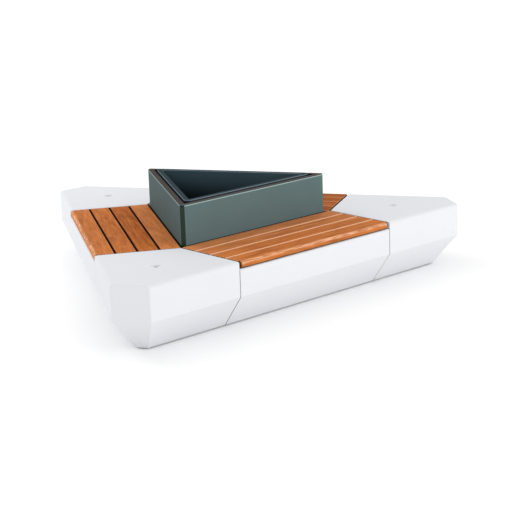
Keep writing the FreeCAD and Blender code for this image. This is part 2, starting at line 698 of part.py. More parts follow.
def board_screws():
    """All the screws that hold the boards, from inside the bearers."""
    body = new_body("board_screws")
    outline = headed("Sizes.screw_head_radius", "Sizes.screw_head_height", "Sizes.screw_radius",
                     "(Sizes.screw_bite + Sizes.bearer_wall)")
    place = ("-Layout.bearer_spread", "-Layout.screw_first",
             "Layout.board_underside - Sizes.bearer_wall - Sizes.screw_head_height")
    screw = turned(body, "screw", outline, place, UP)
    row = linear(body, "screw_row", "X_Axis", "2 * Layout.bearer_spread", BEARERS_PER_SEAT)
    pair = linear(body, "screw_pair", "Y_Axis", "Sizes.screw_spacing", 2)
    pair.Reversed = True
    line = linear(body, "screw_line", "Y_Axis", f"{BOARDS_PER_SEAT - 1} * Layout.board_pitch",
                  BOARDS_PER_SEAT)
    line.Reversed = True
    ring = polar(body, "screw_ring")
    repeat(body, "screw_pattern", screw, [row, pair, line, ring])
    return body


def bearer_anchors():
    """All the anchors that hold the bearers down on the side blocks."""
    body = new_body("bearer_anchors")
    outline = headed("Sizes.anchor_head_radius", "Sizes.anchor_head_height", "Sizes.anchor_radius",
                     "(Sizes.anchor_bite + Sizes.bearer_wall)")
    place = ("-Layout.bearer_spread", "-Layout.anchor_first",
             "Layout.recess_floor + Sizes.bearer_wall + Sizes.anchor_head_height")
    anchor = turned(body, "anchor", outline, place, DOWN)
    row = linear(body, "anchor_row", "X_Axis", "2 * Layout.bearer_spread", BEARERS_PER_SEAT)
    pair = linear(body, "anchor_pair", "Y_Axis", "2 * Layout.board_pitch", 2)
    pair.Reversed = True
    ring = polar(body, "anchor_ring")
    repeat(body, "anchor_pattern", anchor, [row, pair, ring])
    return body


# What joins and carries the blocks

def joint_dowels():
    """Two dowels across each of the six seams."""
    body = new_body("joint_dowels")
    for label, depth, height in DOWEL_PLACES:
        place = ("Layout.seat_half_length - Sizes.dowel_half_length", f"-{depth}", height)
        dowel = cylinder(body, f"dowel_{label}", "Sizes.dowel_radius", "2 * Sizes.dowel_half_length",
                         place, ALONG)
        across = mirror(body, f"dowel_{label}_other_end", "YZ_Plane")
        ring = polar(body, f"dowel_{label}_ring")
        repeat(body, f"dowel_{label}_pattern", dowel, [across, ring])
    return body


def joint_spacers():
    """A rubber ring on each dowel, which keeps the joint open."""
    body = new_body("joint_spacers")
    section = new_sketch(body, "spacer_section", "YZ_Plane", "Layout.seam_side")
    for _, depth, height in DOWEL_PLACES:
        add_circle(section, f"-{depth}", height, "Sizes.spacer_radius")
        add_circle(section, f"-{depth}", height, "Layout.dowel_hole_radius")
    ring_pair = pad(body, "spacer_pair", section, "Sizes.seam_gap")
    across = mirror(body, "spacer_other_end", "YZ_Plane")
    ring = polar(body, "spacer_ring")
    repeat(body, "spacer_pattern", ring_pair, [across, ring])
    return body


def corner_bearing_pads():
    """Three pads under each corner block."""
    body = new_body("corner_bearing_pads")
    outline = new_sketch(body, "corner_pad_outline", "XY_Plane", "0")
    add_circle(outline, "0", "Layout.pad_tip", "Sizes.pad_radius")
    for hand in (-1, 1):
        out, across = corner_point("Layout.pad_outer", "Layout.pad_corner_along", hand)
        add_circle(outline, across, out, "Sizes.pad_radius")
    pads = pad(body, "corner_pads", outline, "Sizes.pad_height")
    repeat(body, "corner_pad_pattern", pads, [polar(body, "corner_pad_ring")])
    return body


def side_bearing_pads():
    """Four pads under each side block."""
    body = new_body("side_bearing_pads")
    outline = new_sketch(body, "side_pad_outline", "XY_Plane", "0")
    for hand in (-1, 1):
        for depth in ("Layout.pad_outer", "Layout.pad_inner"):
            add_circle(outline, f"{hand} * Layout.pad_side_along", f"-{depth}", "Sizes.pad_radius")
    pads = pad(body, "side_pads", outline, "Sizes.pad_height")
    repeat(body, "side_pad_pattern", pads, [polar(body, "side_pad_ring")])
    return body


def lifting_socket(name, turn):
    """A steel sleeve cast into a corner block, open at the top for a lifting pin."""
    body = new_body(f"lifting_socket_{name}", turn)
    outline = [
        ("0", "0"),
        ("Layout.lift_outer_radius", "0"),
        ("Layout.lift_outer_radius", "Sizes.lift_length"),
        ("Sizes.lift_bore_radius", "Sizes.lift_length"),
        ("Sizes.lift_bore_radius", "Sizes.lift_wall"),
        ("0", "Sizes.lift_wall"),
    ]
    turned(body, f"{name}_socket", outline,
           ("Layout.lift_centre", "0", "Layout.lift_floor - Sizes.lift_length"), UP)
    return body


# Planter casing

def planter_panel(name, turn):
    """A folded side panel: face, top flange with a turned-down lip, and studs on its back."""
    body = new_body(f"planter_panel_{name}", turn)
    section = new_sketch(body, f"{name}_panel_section", "YZ_Plane", "0")
    lip_back = "(Layout.flange_inner + Sizes.sheet)"
    add_outline(section, [
        ("-Layout.planter_distance", "Sizes.casing_foot"),
        ("-Layout.panel_back", "Sizes.casing_foot"),
        ("-Layout.panel_back", "Layout.flange_under"),
        (f"-{lip_back}", "Layout.flange_under"),
        (f"-{lip_back}", "Sizes.planter_height - Sizes.flange_lip"),
        ("-Layout.flange_inner", "Sizes.planter_height - Sizes.flange_lip"),
        ("-Layout.flange_inner", "Sizes.planter_height"),
        ("-Layout.planter_distance", "Sizes.planter_height"),
    ])
    sharp_half = "2 * Layout.planter_distance * Layout.side_sin"
    pad(body, f"{name}_sheet", section, f"2 * {sharp_half}", symmetric=True)
    top = value("Sizes.planter_height")
    under = value("Layout.flange_under")
    fillet(body, f"{name}_fold_outside", "Sizes.fold_radius",
           lambda edge: is_along(edge) and lies_at_height(edge, top))
    fillet(body, f"{name}_fold_inside", "Sizes.fold_radius - Sizes.sheet",
           lambda edge: is_along(edge) and lies_at_height(edge, under))

    ends = new_sketch(body, f"{name}_end_cuts", "XY_Plane", "0")
    for hand in (-1, 1):

        def mitre(reach):
            """A point beside the mitre, half the gap off it, at a distance from the middle."""
            x = f"{hand} * (({reach}) * Layout.side_sin - Sizes.mitre_gap)"
            return x, f"-({reach}) * Layout.side_cos"

        far = f"{hand} * 2 * Layout.planter_distance"
        front = "-2 * Layout.planter_distance"
        inner = mitre("Layout.flange_inner")
        add_outline(ends, [
            (f"{hand} * Layout.panel_half_length", front),
            (f"{hand} * Layout.panel_half_length", "-Layout.planter_distance"),
            mitre("Layout.planter_corner"),
            inner,
            (far, inner[1]),
            (far, front),
        ])
    pocket(body, f"{name}_mitred_ends", ends, "2 * Sizes.planter_height", reverse=True)

    stud = cylinder(body, f"{name}_stud", "Sizes.stud_radius", "Sizes.stud_length",
                    ("-Layout.stud_along", "-(Layout.panel_back - Sizes.stud_length)", "Layout.stud_low"),
                    OUTWARD)
    rise = linear(body, f"{name}_stud_rise", "Z_Axis", "Layout.stud_span", STUDS_PER_EDGE)
    across = mirror(body, f"{name}_stud_mirror", "YZ_Plane")
    repeat(body, f"{name}_studs", stud, [rise, across])
    add_tie_holes(body, name, "Sizes.sheet", "Layout.panel_back")
    return body


def add_tie_holes(body, name, thickness, back):
    """The holes for the two tie bolts through a panel or rail of a thickness."""
    hole = cylinder(body, f"{name}_tie_hole", "Layout.tie_hole_radius", thickness,
                    ("Sizes.tie_spread", f"-({back})", "Layout.tie_level"), OUTWARD, cuts=True)
    repeat(body, f"{name}_tie_holes", hole, [mirror(body, f"{name}_tie_hole_mirror", "YZ_Plane")])


def panel_nuts():
    """The nuts on all the panel studs, behind the wings of the posts."""
    body = new_body("panel_nuts")
    section = new_sketch(body, "nut_section", "XZ_Plane", "Layout.wing_back - Sizes.nut_height")
    corners = []
    for index in range(6):
        angle = f"{60 * index}deg"
        corners.append((f"Layout.stud_along + Sizes.nut_radius * cos({angle})",
                        f"Layout.stud_low + Sizes.nut_radius * sin({angle})"))
    add_outline(section, corners)
    add_circle(section, "Layout.stud_along", "Layout.stud_low", "Layout.stud_hole_radius")
    nut = pad(body, "nut", section, "Sizes.nut_height")
    rise = linear(body, "nut_rise", "Z_Axis", "Layout.stud_span", STUDS_PER_EDGE)
    across = mirror(body, "nut_mirror", "YZ_Plane")
    ring = polar(body, "nut_ring")
    repeat(body, "nut_pattern", nut, [rise, across, ring])
    return body


def corner_post(name, turn):
    """A folded corner post: a narrow face between the panels and a wing behind each of them."""
    body = new_body(f"planter_post_{name}", turn)
    section = new_sketch(body, f"{name}_post_section", "XY_Plane", "Sizes.casing_foot")
    upper = [
        ("Layout.post_face", "Layout.post_face_half"),
        corner_point("Layout.panel_back", "Layout.wing_end", 1),
        corner_point("Layout.wing_back", "Layout.wing_end", 1),
        ("Layout.post_back", "Layout.post_back_half"),
    ]
    lower = [(x, f"-({y})") for x, y in reversed(upper)]
    add_outline(section, upper + lower)
    pad(body, f"{name}_post", section, "Layout.post_top - Sizes.casing_foot")

    plate = new_sketch(body, f"{name}_plate_outline", "XY_Plane", "Sizes.casing_foot")
    inner = corner_point("Layout.wing_back", "Layout.wing_end", 1)
    add_outline(plate, [
        ("Layout.post_back", "Layout.post_back_half"),
        inner,
        (inner[0], f"-({inner[1]})"),
        ("Layout.post_back", "-Layout.post_back_half"),
    ])
    add_circle(plate, "Layout.foot_centre", "0", "Layout.foot_hole_radius")
    pad(body, f"{name}_plate", plate, "Sizes.foot_plate")

    x, y = corner_point("Layout.wing_back - Sizes.sheet", "Layout.stud_along", 1)
    hole = cylinder(body, f"{name}_stud_hole", "Layout.stud_hole_radius", "3 * Sizes.sheet",
                    (x, y, "Layout.stud_low"), towards_side(1), cuts=True)
    rise = linear(body, f"{name}_hole_rise", "Z_Axis", "Layout.stud_span", STUDS_PER_EDGE)
    across = mirror(body, f"{name}_hole_mirror", "XZ_Plane")
    repeat(body, f"{name}_stud_holes", hole, [rise, across])
    return body


def base_rail(name, turn):
    """An angle between the feet of two posts, behind the lower edge of a panel."""
    body = new_body(f"planter_base_rail_{name}", turn)
    section = new_sketch(body, f"{name}_rail_section", "YZ_Plane", "0")
    back = "Layout.panel_back"
    add_outline(section, [
        (f"-{back}", "Sizes.casing_foot"),
        (f"-({back} - Sizes.rail_size)", "Sizes.casing_foot"),
        (f"-({back} - Sizes.rail_size)", "Sizes.casing_foot + Sizes.rail_thickness"),
        (f"-({back} - Sizes.rail_thickness)", "Sizes.casing_foot + Sizes.rail_thickness"),
        (f"-({back} - Sizes.rail_thickness)", "Sizes.casing_foot + Sizes.rail_size"),
        (f"-{back}", "Sizes.casing_foot + Sizes.rail_size"),
    ])
    pad(body, f"{name}_rail", section, "2 * Layout.wing_end", symmetric=True)
    add_tie_holes(body, name, "Sizes.rail_thickness", "Layout.tie_seat")
    return body


def planter_tie_bolts():
    """Two bolts on each side, through the base rail and the panel into the side block."""
    body = new_body("planter_tie_bolts")
    outline = headed("Sizes.tie_head_radius", "Sizes.tie_head_height", "Sizes.tie_radius",
                     "(Layout.block_inner - Layout.tie_seat + Sizes.tie_bite)")
    place = ("Sizes.tie_spread", "-(Layout.tie_seat - Sizes.tie_head_height)", "Layout.tie_level")
    bolt = turned(body, "tie_bolt", outline, place, OUTWARD)
    across = mirror(body, "tie_bolt_mirror", "YZ_Plane")
    ring = polar(body, "tie_bolt_ring")
    repeat(body, "tie_bolt_pattern", bolt, [across, ring])
    return body


def planter_tie_sleeves():
    """A sleeve on each tie bolt, which keeps the panel clear of the block."""
    body = new_body("planter_tie_sleeves")
    section = new_sketch(body, "sleeve_section", "XZ_Plane", "Layout.planter_distance")
    add_circle(section, "Sizes.tie_spread", "Layout.tie_level", "Sizes.tie_sleeve_radius")
    add_circle(section, "Sizes.tie_spread", "Layout.tie_level", "Layout.tie_hole_radius")
    sleeve = pad(body, "sleeve", section, "Layout.block_inner - Layout.planter_distance")
    across = mirror(body, "sleeve_mirror", "YZ_Plane")
    ring = polar(body, "sleeve_ring")
    repeat(body, "sleeve_pattern", sleeve, [across, ring])
    return body


def liner_bracket(name, turn):
    """A bracket on a post, which carries one corner of the liner."""
    body = new_body(f"liner_bracket_{name}", turn)
    plate = new_sketch(body, f"{name}_bracket_outline", "XY_Plane",
                       "Layout.bracket_top - Sizes.bracket_thickness")
    wide = "Sizes.bracket_width / 2"
    narrow = "Sizes.bracket_nose / 2"
    shoulder = "Layout.post_back - Sizes.bracket_taper"
    add_outline(plate, [
        ("Layout.bracket_end", f"-{wide}"),
        (shoulder, f"-{wide}"),
        ("Layout.post_back", f"-{narrow}"),
        ("Layout.post_back", narrow),
        (shoulder, wide),
        ("Layout.bracket_end", wide),
    ])
    pad(body, f"{name}_bracket_plate", plate, "Sizes.bracket_thickness")
    web = new_sketch(body, f"{name}_web_outline", "XZ_Plane", "0")
    under = "Layout.bracket_top - Sizes.bracket_thickness"
    add_outline(web, [
        ("Layout.bracket_end", f"{under} - Sizes.bracket_tip"),
        ("Layout.post_back", f"{under} - Sizes.bracket_drop"),
        ("Layout.post_back", under),
        ("Layout.bracket_end", under),
    ])
    pad(body, f"{name}_bracket_web", web, "Sizes.bracket_thickness", symmetric=True)
    return body


def levelling_feet():
    """A foot under each post, on a threaded stem."""
    body = new_body("levelling_feet")
    outline = headed("Sizes.foot_pad_radius", "Sizes.foot_pad_height", "Sizes.foot_stem_radius",
                     "(Sizes.foot_stem_top - Sizes.foot_pad_height)")
    foot = turned(body, "foot", outline, ("0", "Layout.foot_centre", "0"), UP)
    repeat(body, "foot_pattern", foot, [polar(body, "foot_ring")])
    return body


def levelling_nuts():
    """A nut below and a nut above the plate of each post."""
    body = new_body("levelling_nuts")
    levels = {
        "lower": "Sizes.casing_foot - Sizes.foot_nut_height",
        "upper": "Sizes.casing_foot + Sizes.foot_plate",
    }
    for label, level in levels.items():
        outline = new_sketch(body, f"{label}_foot_nut_outline", "XY_Plane", level)
        corners = []
        for index in range(6):
            angle = f"{60 * index}deg"
            corners.append((f"Sizes.foot_nut_radius * cos({angle})",
                            f"Layout.foot_centre + Sizes.foot_nut_radius * sin({angle})"))
        add_outline(outline, corners)
        add_circle(outline, "0", "Layout.foot_centre", "Layout.foot_hole_radius")
        nut = pad(body, f"{label}_foot_nut", outline, "Sizes.foot_nut_height")
        repeat(body, f"{label}_foot_nut_pattern", nut, [polar(body, f"{label}_foot_nut_ring")])
    return body


# Lift-out liner

def planter_liner():
    """The tub: walls and floor of sheet, a flat rim with a turned-down lip, and a drain hole."""
    body = new_body("planter_liner")
    tub = new_sketch(body, "tub_outline", "XY_Plane", "Layout.liner_bottom")
    add_outline(tub, triangle_outline("Layout.liner_wall_outer"))
    pad(body, "tub", tub, "Sizes.liner_depth")
    rim = new_sketch(body, "rim_outline", "XY_Plane", "Layout.liner_top - Sizes.sheet")
    add_outline(rim, ring_outline("Layout.liner_outer", "Layout.liner_corner"))
    pad(body, "rim", rim, "Sizes.sheet")
    lip = new_sketch(body, "rim_lip_outline", "XY_Plane", "Layout.liner_top - Sizes.liner_lip")
    add_outline(lip, ring_outline("Layout.liner_outer", "Layout.liner_corner"))
    add_outline(lip, ring_outline("Layout.liner_outer - Sizes.sheet", "Layout.liner_corner - Sizes.sheet"))
    pad(body, "rim_lip", lip, "Sizes.liner_lip")
    hollow = new_sketch(body, "hollow_outline", "XY_Plane", "Layout.liner_bottom + Sizes.sheet")
    add_outline(hollow, triangle_outline("Layout.liner_inner"))
    pocket(body, "hollow", hollow, "Sizes.liner_depth", reverse=True)

    top = value("Layout.liner_top")

    def corner_at(depth):
        """A test for the upright corner edges of a triangle with its sides at a depth."""
        reach = 2 * value(depth)
        return lambda edge: is_upright(edge) and near(distance(edge), reach, 1)

    fillet(body, "hollow_corners", "Sizes.liner_corner_radius - Sizes.sheet",
           corner_at("Layout.liner_inner"))
    fillet(body, "tub_corners", "Sizes.liner_corner_radius", corner_at("Layout.liner_wall_outer"))
    fillet(body, "rim_folds", "Sizes.rim_fold_radius", lambda edge: lies_at_height(edge, top))
    cylinder(body, "drain_hole", "Layout.drain_hole_radius", "Sizes.sheet",
             ("0", "0", "Layout.liner_bottom"), UP, cuts=True)
    return body


def drain_fitting():
    """A flanged spout through the liner's floor."""
    body = new_body("drain_fitting")
    seat = "(Sizes.drain_stem_length + Sizes.sheet)"
    outline = [
        ("Sizes.drain_bore_radius", "0"),
        ("Sizes.drain_stem_radius", "0"),
        ("Sizes.drain_stem_radius", seat),
        ("Sizes.drain_flange_radius", seat),
        ("Sizes.drain_flange_radius", f"{seat} + Sizes.drain_flange_height"),
        ("Sizes.drain_bore_radius", f"{seat} + Sizes.drain_flange_height"),
    ]
    turned(body, "spout", outline, ("0", "0", "Layout.liner_bottom - Sizes.drain_stem_length"), UP)
    return body


def drain_nut():
    """The nut under the liner's floor."""
    body = new_body("drain_nut")
    outline = new_sketch(body, "drain_nut_outline", "XY_Plane",
                         "Layout.liner_bottom - Sizes.drain_nut_height")
    corners = []
    for index in range(6):
        angle = f"{60 * index}deg"
        corners.append((f"Sizes.drain_nut_radius * cos({angle})", f"Sizes.drain_nut_radius * sin({angle})"))
    add_outline(outline, corners)
    add_circle(outline, "0", "0", "Layout.drain_hole_radius")
    pad(body, "drain_nut_ring", outline, "Sizes.drain_nut_height")
    return body


# The whole bench

for corner_name, corner_turn in CORNERS.items():
    corner_block(corner_name, corner_turn)
    lifting_socket(corner_name, corner_turn)
    corner_post(corner_name, corner_turn)
    liner_bracket(corner_name, corner_turn)
for side_name, side_turn in SIDES.items():
    side_block(side_name, side_turn)
    for board_number in range(1, BOARDS_PER_SEAT + 1):
        seat_board(side_name, side_turn, board_number)
    for bearer_number in range(1, BEARERS_PER_SEAT + 1):
        seat_bearer(side_name, side_turn, bearer_number)
    planter_panel(side_name, side_turn)
    base_rail(side_name, side_turn)
planter_tie_bolts()
planter_tie_sleeves()
board_screws()
bearer_anchors()
joint_dowels()
joint_spacers()
corner_bearing_pads()
side_bearing_pads()
panel_nuts()
levelling_feet()
levelling_nuts()
planter_liner()
drain_fitting()
drain_nut()

doc.recompute()

for item in doc.Objects:
    if "Invalid" in item.State or "Error" in item.State:
        raise RuntimeError(f"{item.Label} failed: {item.State}")
for part in parts:
    if part.Shape.isNull() or not part.Shape.isValid():
        raise RuntimeError(f"{part.Label} has no valid shape")

os.makedirs("parts", exist_ok=True)
for part in parts:
    part.Shape.exportStep(f"parts/{part.Label}.step")
    print(part.Label, len(part.Shape.Solids), round(part.Shape.Volume / 1000, 1), "cm3")
print(len(parts), "parts")
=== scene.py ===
# %% [markdown]
# # A triangular bench around a planter
# The bench is a ring of six white cast-stone blocks with a hardwood seat on each side.
# A sheet-steel planter with a lift-out liner stands in the middle of the ring.
# The construction comes in as a fixed frame, which says where every piece is. What is left for
# Blender is what the eye reads: soft arrises, folded sheet, grain, cast texture, paint and light.

# %% Load the frame
import json
import math

import bmesh
import bpy
from mathutils import Matrix, Vector


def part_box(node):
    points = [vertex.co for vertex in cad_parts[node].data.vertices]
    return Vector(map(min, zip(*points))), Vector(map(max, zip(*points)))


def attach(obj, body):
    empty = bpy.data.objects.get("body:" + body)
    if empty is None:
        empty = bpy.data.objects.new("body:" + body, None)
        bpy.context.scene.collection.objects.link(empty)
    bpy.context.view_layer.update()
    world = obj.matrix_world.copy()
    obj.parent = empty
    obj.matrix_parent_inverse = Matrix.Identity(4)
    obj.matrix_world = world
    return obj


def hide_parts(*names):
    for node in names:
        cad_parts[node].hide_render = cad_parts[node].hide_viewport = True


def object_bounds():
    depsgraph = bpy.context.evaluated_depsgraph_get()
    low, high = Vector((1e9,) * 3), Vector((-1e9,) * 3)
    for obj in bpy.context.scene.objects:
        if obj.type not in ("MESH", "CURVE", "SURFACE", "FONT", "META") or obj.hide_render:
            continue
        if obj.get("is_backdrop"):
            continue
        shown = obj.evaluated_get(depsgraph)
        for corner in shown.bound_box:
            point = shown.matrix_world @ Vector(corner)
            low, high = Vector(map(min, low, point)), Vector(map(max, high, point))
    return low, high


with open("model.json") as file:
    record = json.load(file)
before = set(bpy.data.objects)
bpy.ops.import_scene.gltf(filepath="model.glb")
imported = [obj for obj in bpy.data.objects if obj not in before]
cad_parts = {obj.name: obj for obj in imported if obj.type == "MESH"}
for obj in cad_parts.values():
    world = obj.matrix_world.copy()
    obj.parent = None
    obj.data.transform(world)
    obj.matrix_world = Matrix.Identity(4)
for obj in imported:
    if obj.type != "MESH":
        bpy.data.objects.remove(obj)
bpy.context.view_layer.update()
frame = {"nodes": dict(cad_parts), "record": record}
print("pieces in the frame:", len(frame["nodes"]))

# %% [markdown]
# The bench has three-fold symmetry, so one piece of each kind can be drawn about the middle of
# the triangle and then turned to its place. Two local frames serve for that. In a side's frame
# the long face looks along -Y, so a depth is a distance towards that face. In a corner's frame
# the blunt corner lies along +X. The drain stands on the middle, so its box gives the middle.

# %% Find the middle of the triangle
SIDES = {"front": 0, "right": 120, "left": 240}
CORNERS = {"front_right": -30, "rear": 90, "front_left": 210}
SIN = math.sin(math.radians(60))
COS = math.cos(math.radians(60))
# Outwards from the middle, to the three long faces and to the three blunt ends.
FACEWARD = [Matrix.Rotation(math.radians(turn), 3, "Z") @ Vector((0, -1, 0)) for turn in SIDES.values()]
ENDWARD = [-direction for direction in FACEWARD]

low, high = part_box("drain_fitting")
middle = (low + high) / 2
middle.z = 0


def place(turn):
    """The matrix that carries a piece drawn about the middle to its place in the ring."""
    return Matrix.Translation(middle) @ Matrix.Rotation(math.radians(turn), 4, "Z")


print("middle of the triangle:", [round(value, 4) for value in middle])

# %% [markdown]
# Every finish below is a tree of nodes. One helper adds a node with its settings, and fills its
# sockets with plain values or with links. Colours are written as sRGB hex, the way a paint chart
# gives them, and one function turns them into the linear light that Blender works in. Most
# finishes are a ground colour with others laid over it, as coats, dust and wear are, and so one
# loop lays them.

# %% Helpers for materials
MM = 0.001
# A colour mix's sockets have no names of their own, so they are counted.
FACTOR, COLOUR_A, COLOUR_B, MIXED = 0, 6, 7, 2


def linear(code):
    """An sRGB hex colour as linear red, green, blue and alpha."""
    parts = [int(code[i:i + 2], 16) / 255 for i in (1, 3, 5)]
    return [c / 12.92 if c <= 0.04045 else ((c + 0.055) / 1.055) ** 2.4 for c in parts] + [1]


def add(tree, kind, inputs=None, **settings):
    """Add a node: first its settings, then its sockets, each as a value or a link.

    A node that is given for a socket stands for its first output.
    """
    node = tree.nodes.new("ShaderNode" + kind)
    for name, value in settings.items():
        setattr(node, name, value)
    for socket, value in (inputs or {}).items():
        if isinstance(value, bpy.types.Node):
            value = value.outputs[0]
        if isinstance(value, bpy.types.NodeSocket):
            tree.links.new(value, node.inputs[socket])
        else:
            node.inputs[socket].default_value = value
    return node


def new_finish(name):
    """A material with an empty tree."""
    material = bpy.data.materials.new(name)
    material.use_nodes = True
    material.node_tree.nodes.clear()
    return material, material.node_tree


def lay_over(tree, ground, *layers):
    """Lay flat colours over a ground, one after the other, each by its share."""
    for covering, code in layers:
        ground = add(tree, "Mix", {FACTOR: covering, COLOUR_A: ground, COLOUR_B: linear(code)},
                     data_type="RGBA").outputs[MIXED]
    return ground


print("mid grey in linear light:", round(linear("#808080")[0], 3))

# %% [markdown]
# ## Cast stone
# The blocks are cast in smooth moulds from white cement and pale sand, then sealed. The eye gets
# an almost even white with slow cloudiness, a very fine sand texture and here and there a pinhole
# where an air bubble met the mould. Three patterns in real sizes do that: a noise of 300 mm for
# the clouds, one of about a millimetre for the sand, and sparse cells of 26 mm for the pinholes.
# The faces inside the joints and under the seats share the recipe, with darker colours, as painted
# shade for the narrow gaps and the space under the seats. From the shelf under the seats upwards,
# and a little way in from the long faces, the painted shade turns them nearly black. Where such a
# face shows beside the nose of a seat, above the lip and near the long face, it keeps the white.

# %% Where painted shade lies on the blocks
SHELF_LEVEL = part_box("seat_bearer_front_1")[0].z
LIP_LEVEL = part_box("side_block_front")[1].z
FACE_DEPTH = middle.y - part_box("side_block_front")[0].y
# Painted shade: joint faces above the shelf and in from the long faces turn nearly black.
JOINT_SHADE_START, JOINT_SHADE_FULL = FACE_DEPTH - 22 * MM, FACE_DEPTH - 32 * MM
JOINT_SHADE_BLACK, JOINT_FRONT_WHITE = "#0e0b08", "#e7e9ec"


def find_depth(tree, where, directions=FACEWARD):
    """How far a point lies out along the nearest of three directions from the middle."""
    from_middle = add(tree, "VectorMath", {0: where, 1: middle}, operation="SUBTRACT")
    depth = -1.0
    for direction in directions:
        towards = add(tree, "VectorMath", {0: from_middle, 1: direction}, operation="DOT_PRODUCT")
        depth = add(tree, "Math", {0: towards.outputs["Value"], 1: depth}, operation="MAXIMUM")
    return depth


def lay_joint_shade(tree, where, body, joint_shade):
    """Darken a joint face by a share of painted shade, and keep it white where it shows beside a nose."""
    height = add(tree, "SeparateXYZ", {0: where}).outputs["Z"]
    inside = add(tree, "MapRange", {"Value": find_depth(tree, where), "From Min": JOINT_SHADE_START,
                                    "From Max": JOINT_SHADE_FULL})
    outside = add(tree, "Math", {0: 1.0, 1: inside}, operation="SUBTRACT")
    over_shelf = add(tree, "MapRange", {"Value": height, "From Min": SHELF_LEVEL - 3 * MM,
                                        "From Max": SHELF_LEVEL, "To Max": joint_shade})
    over_lip = add(tree, "MapRange", {"Value": height, "From Min": LIP_LEVEL - 2 * MM,
                                      "From Max": LIP_LEVEL + 2 * MM})
    shaded = add(tree, "Math", {0: over_shelf, 1: inside}, operation="MULTIPLY")
    kept_white = add(tree, "Math", {0: over_lip, 1: outside}, operation="MULTIPLY")
    return lay_over(tree, body, (shaded, JOINT_SHADE_BLACK), (kept_white, JOINT_FRONT_WHITE))


print("soil lies from", round(SHELF_LEVEL / MM), "mm upwards")


# %% Cast stone
def cast_stone(name, pale, cloud, grain, pit, roughness, joint_shade):
    """Cast stone: slow clouds, fine sand, sparse pinholes and a share of painted shade above the shelf.
    """
    finish, tree = new_finish(name)
    where = add(tree, "TexCoord").outputs["Object"]
    clouds = add(tree, "TexNoise", {"Vector": where, "Scale": 1 / (300 * MM), "Detail": 4})
    # Sand grains are 0.3 mm; they are drawn at 1.6 mm so that a close view can show them.
    sand = add(tree, "TexNoise", {"Vector": where, "Scale": 1 / (1.6 * MM), "Detail": 2})
    cells = add(tree, "TexVoronoi", {"Vector": where, "Scale": 1 / (26 * MM)})
    pinhole = add(tree, "MapRange", {"Value": cells.outputs["Distance"], "From Min": 0.035,
                                     "From Max": 0.06, "To Min": 1, "To Max": 0})
    sparse = add(tree, "MapRange", {"Value": clouds, "From Min": 0.5, "From Max": 0.6})
    holes = add(tree, "Math", {0: pinhole, 1: sparse}, operation="MULTIPLY")
    cloudy = lay_over(tree, linear(cloud), (clouds, pale))
    sandy = add(tree, "Mix", {FACTOR: sand, COLOUR_A: linear(grain), COLOUR_B: cloudy},
                data_type="RGBA")
    body = lay_over(tree, sandy.outputs[MIXED], (holes, pit))
    if joint_shade:
        body = lay_joint_shade(tree, where, body, joint_shade)
    relief = add(tree, "Math", {0: holes, 1: -3.0, 2: sand}, operation="MULTIPLY_ADD")
    bump = add(tree, "Bump", {"Height": relief, "Strength": 0.35, "Distance": 0.3 * MM})
    shader = add(tree, "BsdfPrincipled", {"Base Color": body, "Roughness": roughness, "IOR": 1.5,
                                          "Normal": bump})
    add(tree, "OutputMaterial", {"Surface": shader})
    print("stone finish:", name, len(tree.nodes), "nodes")
    return finish


# The darker colours of the joint faces are painted shade for the gaps and the space under the seats.
stone = cast_stone("white_cast_stone", "#e7e8eb", "#e0e2e7", "#dddfe3", "#b9bcc0", 0.62, 0)
shaded_joint_stone = cast_stone("joint_stone_painted_shade", "#9c9994", "#84807a", "#7a766f", "#3e3b38", 0.9,
                         0.93)

# %% [markdown]
# ## Oiled hardwood
# The boards are planed tropical hardwood, oiled until it glows orange-brown. Wood is a solid, so
# its pattern is drawn in three dimensions. Each board gets maps of its own when it is made: "log"
# says where each point lay in the tree, with the heart along X, and "section" says where it lies
# in the board. Rings are then a noise over the distance from the heart, fibres and pores are
# noises drawn out along X, and the mottled figure of interlocked grain is a slower one.

# %% The grain
BOARD_WIDTH, BOARD_THICKNESS, ARRIS = 133 * MM, 44 * MM, 4 * MM
RING_WIDTH = 11 * MM
HEART_WANDER = 35 * MM


def draw_out(tree, where, along, across):
    """A noise stretched along the log, with its grain given in metres along and across."""
    scaled = add(tree, "Mapping", {"Vector": where, "Scale": (1 / along, 1 / across, 1 / across)})
    return add(tree, "TexNoise", {"Vector": scaled, "Scale": 1.0, "Detail": 3})


def grow_rings(tree, log):
    """Growth rings as a noise over the distance from a heart that wanders."""
    wander = draw_out(tree, log, 0.9, 0.12)
    bent = add(tree, "VectorMath", {0: wander.outputs["Color"], 1: (0, HEART_WANDER, HEART_WANDER),
                                    2: log}, operation="MULTIPLY_ADD")
    across = add(tree, "VectorMath", {0: bent, 1: (0, 1, 1)}, operation="MULTIPLY")
    from_heart = add(tree, "VectorMath", {0: across}, operation="LENGTH")
    return add(tree, "TexNoise", {"W": from_heart.outputs["Value"], "Scale": 1 / RING_WIDTH,
                                  "Detail": 3}, noise_dimensions="1D")


def grade(tree, layers, start):
    """Add up noises, each with its share, onto a start value."""
    total = start
    for layer, share in layers:
        total = add(tree, "Math", {0: layer, 1: share, 2: total}, operation="MULTIPLY_ADD")
    return total


# %% [markdown]
# Wear and painted light lie on top of the grain. Along the arrises a band a few millimetres wide
# turns the colour of straw: partly weathering, partly a painted highlight, strongest on the seat
# whose arrises face the broad front light. The round of the nose and the rounds at the ends get
# pale streaks, partly polish from sitting and partly a painted highlight, and the sides that face
# a gap are painted almost black as shade. The arris and the ends, which dry out and turn more
# orange, follow from the "section" map. The rest are attributes: one for the pale arris band,
# "faded", one for the pale nose and ends, and one for the painted shade.

# %% Grain, wear and painted light together
FIGURE_DARK, FIGURE_LIGHT = 1.22, 2.28
# Painted shade: the near black of a board's sides, underside and ends where they face a gap.
WOOD_SHADE_BLACK = "#0c0603"


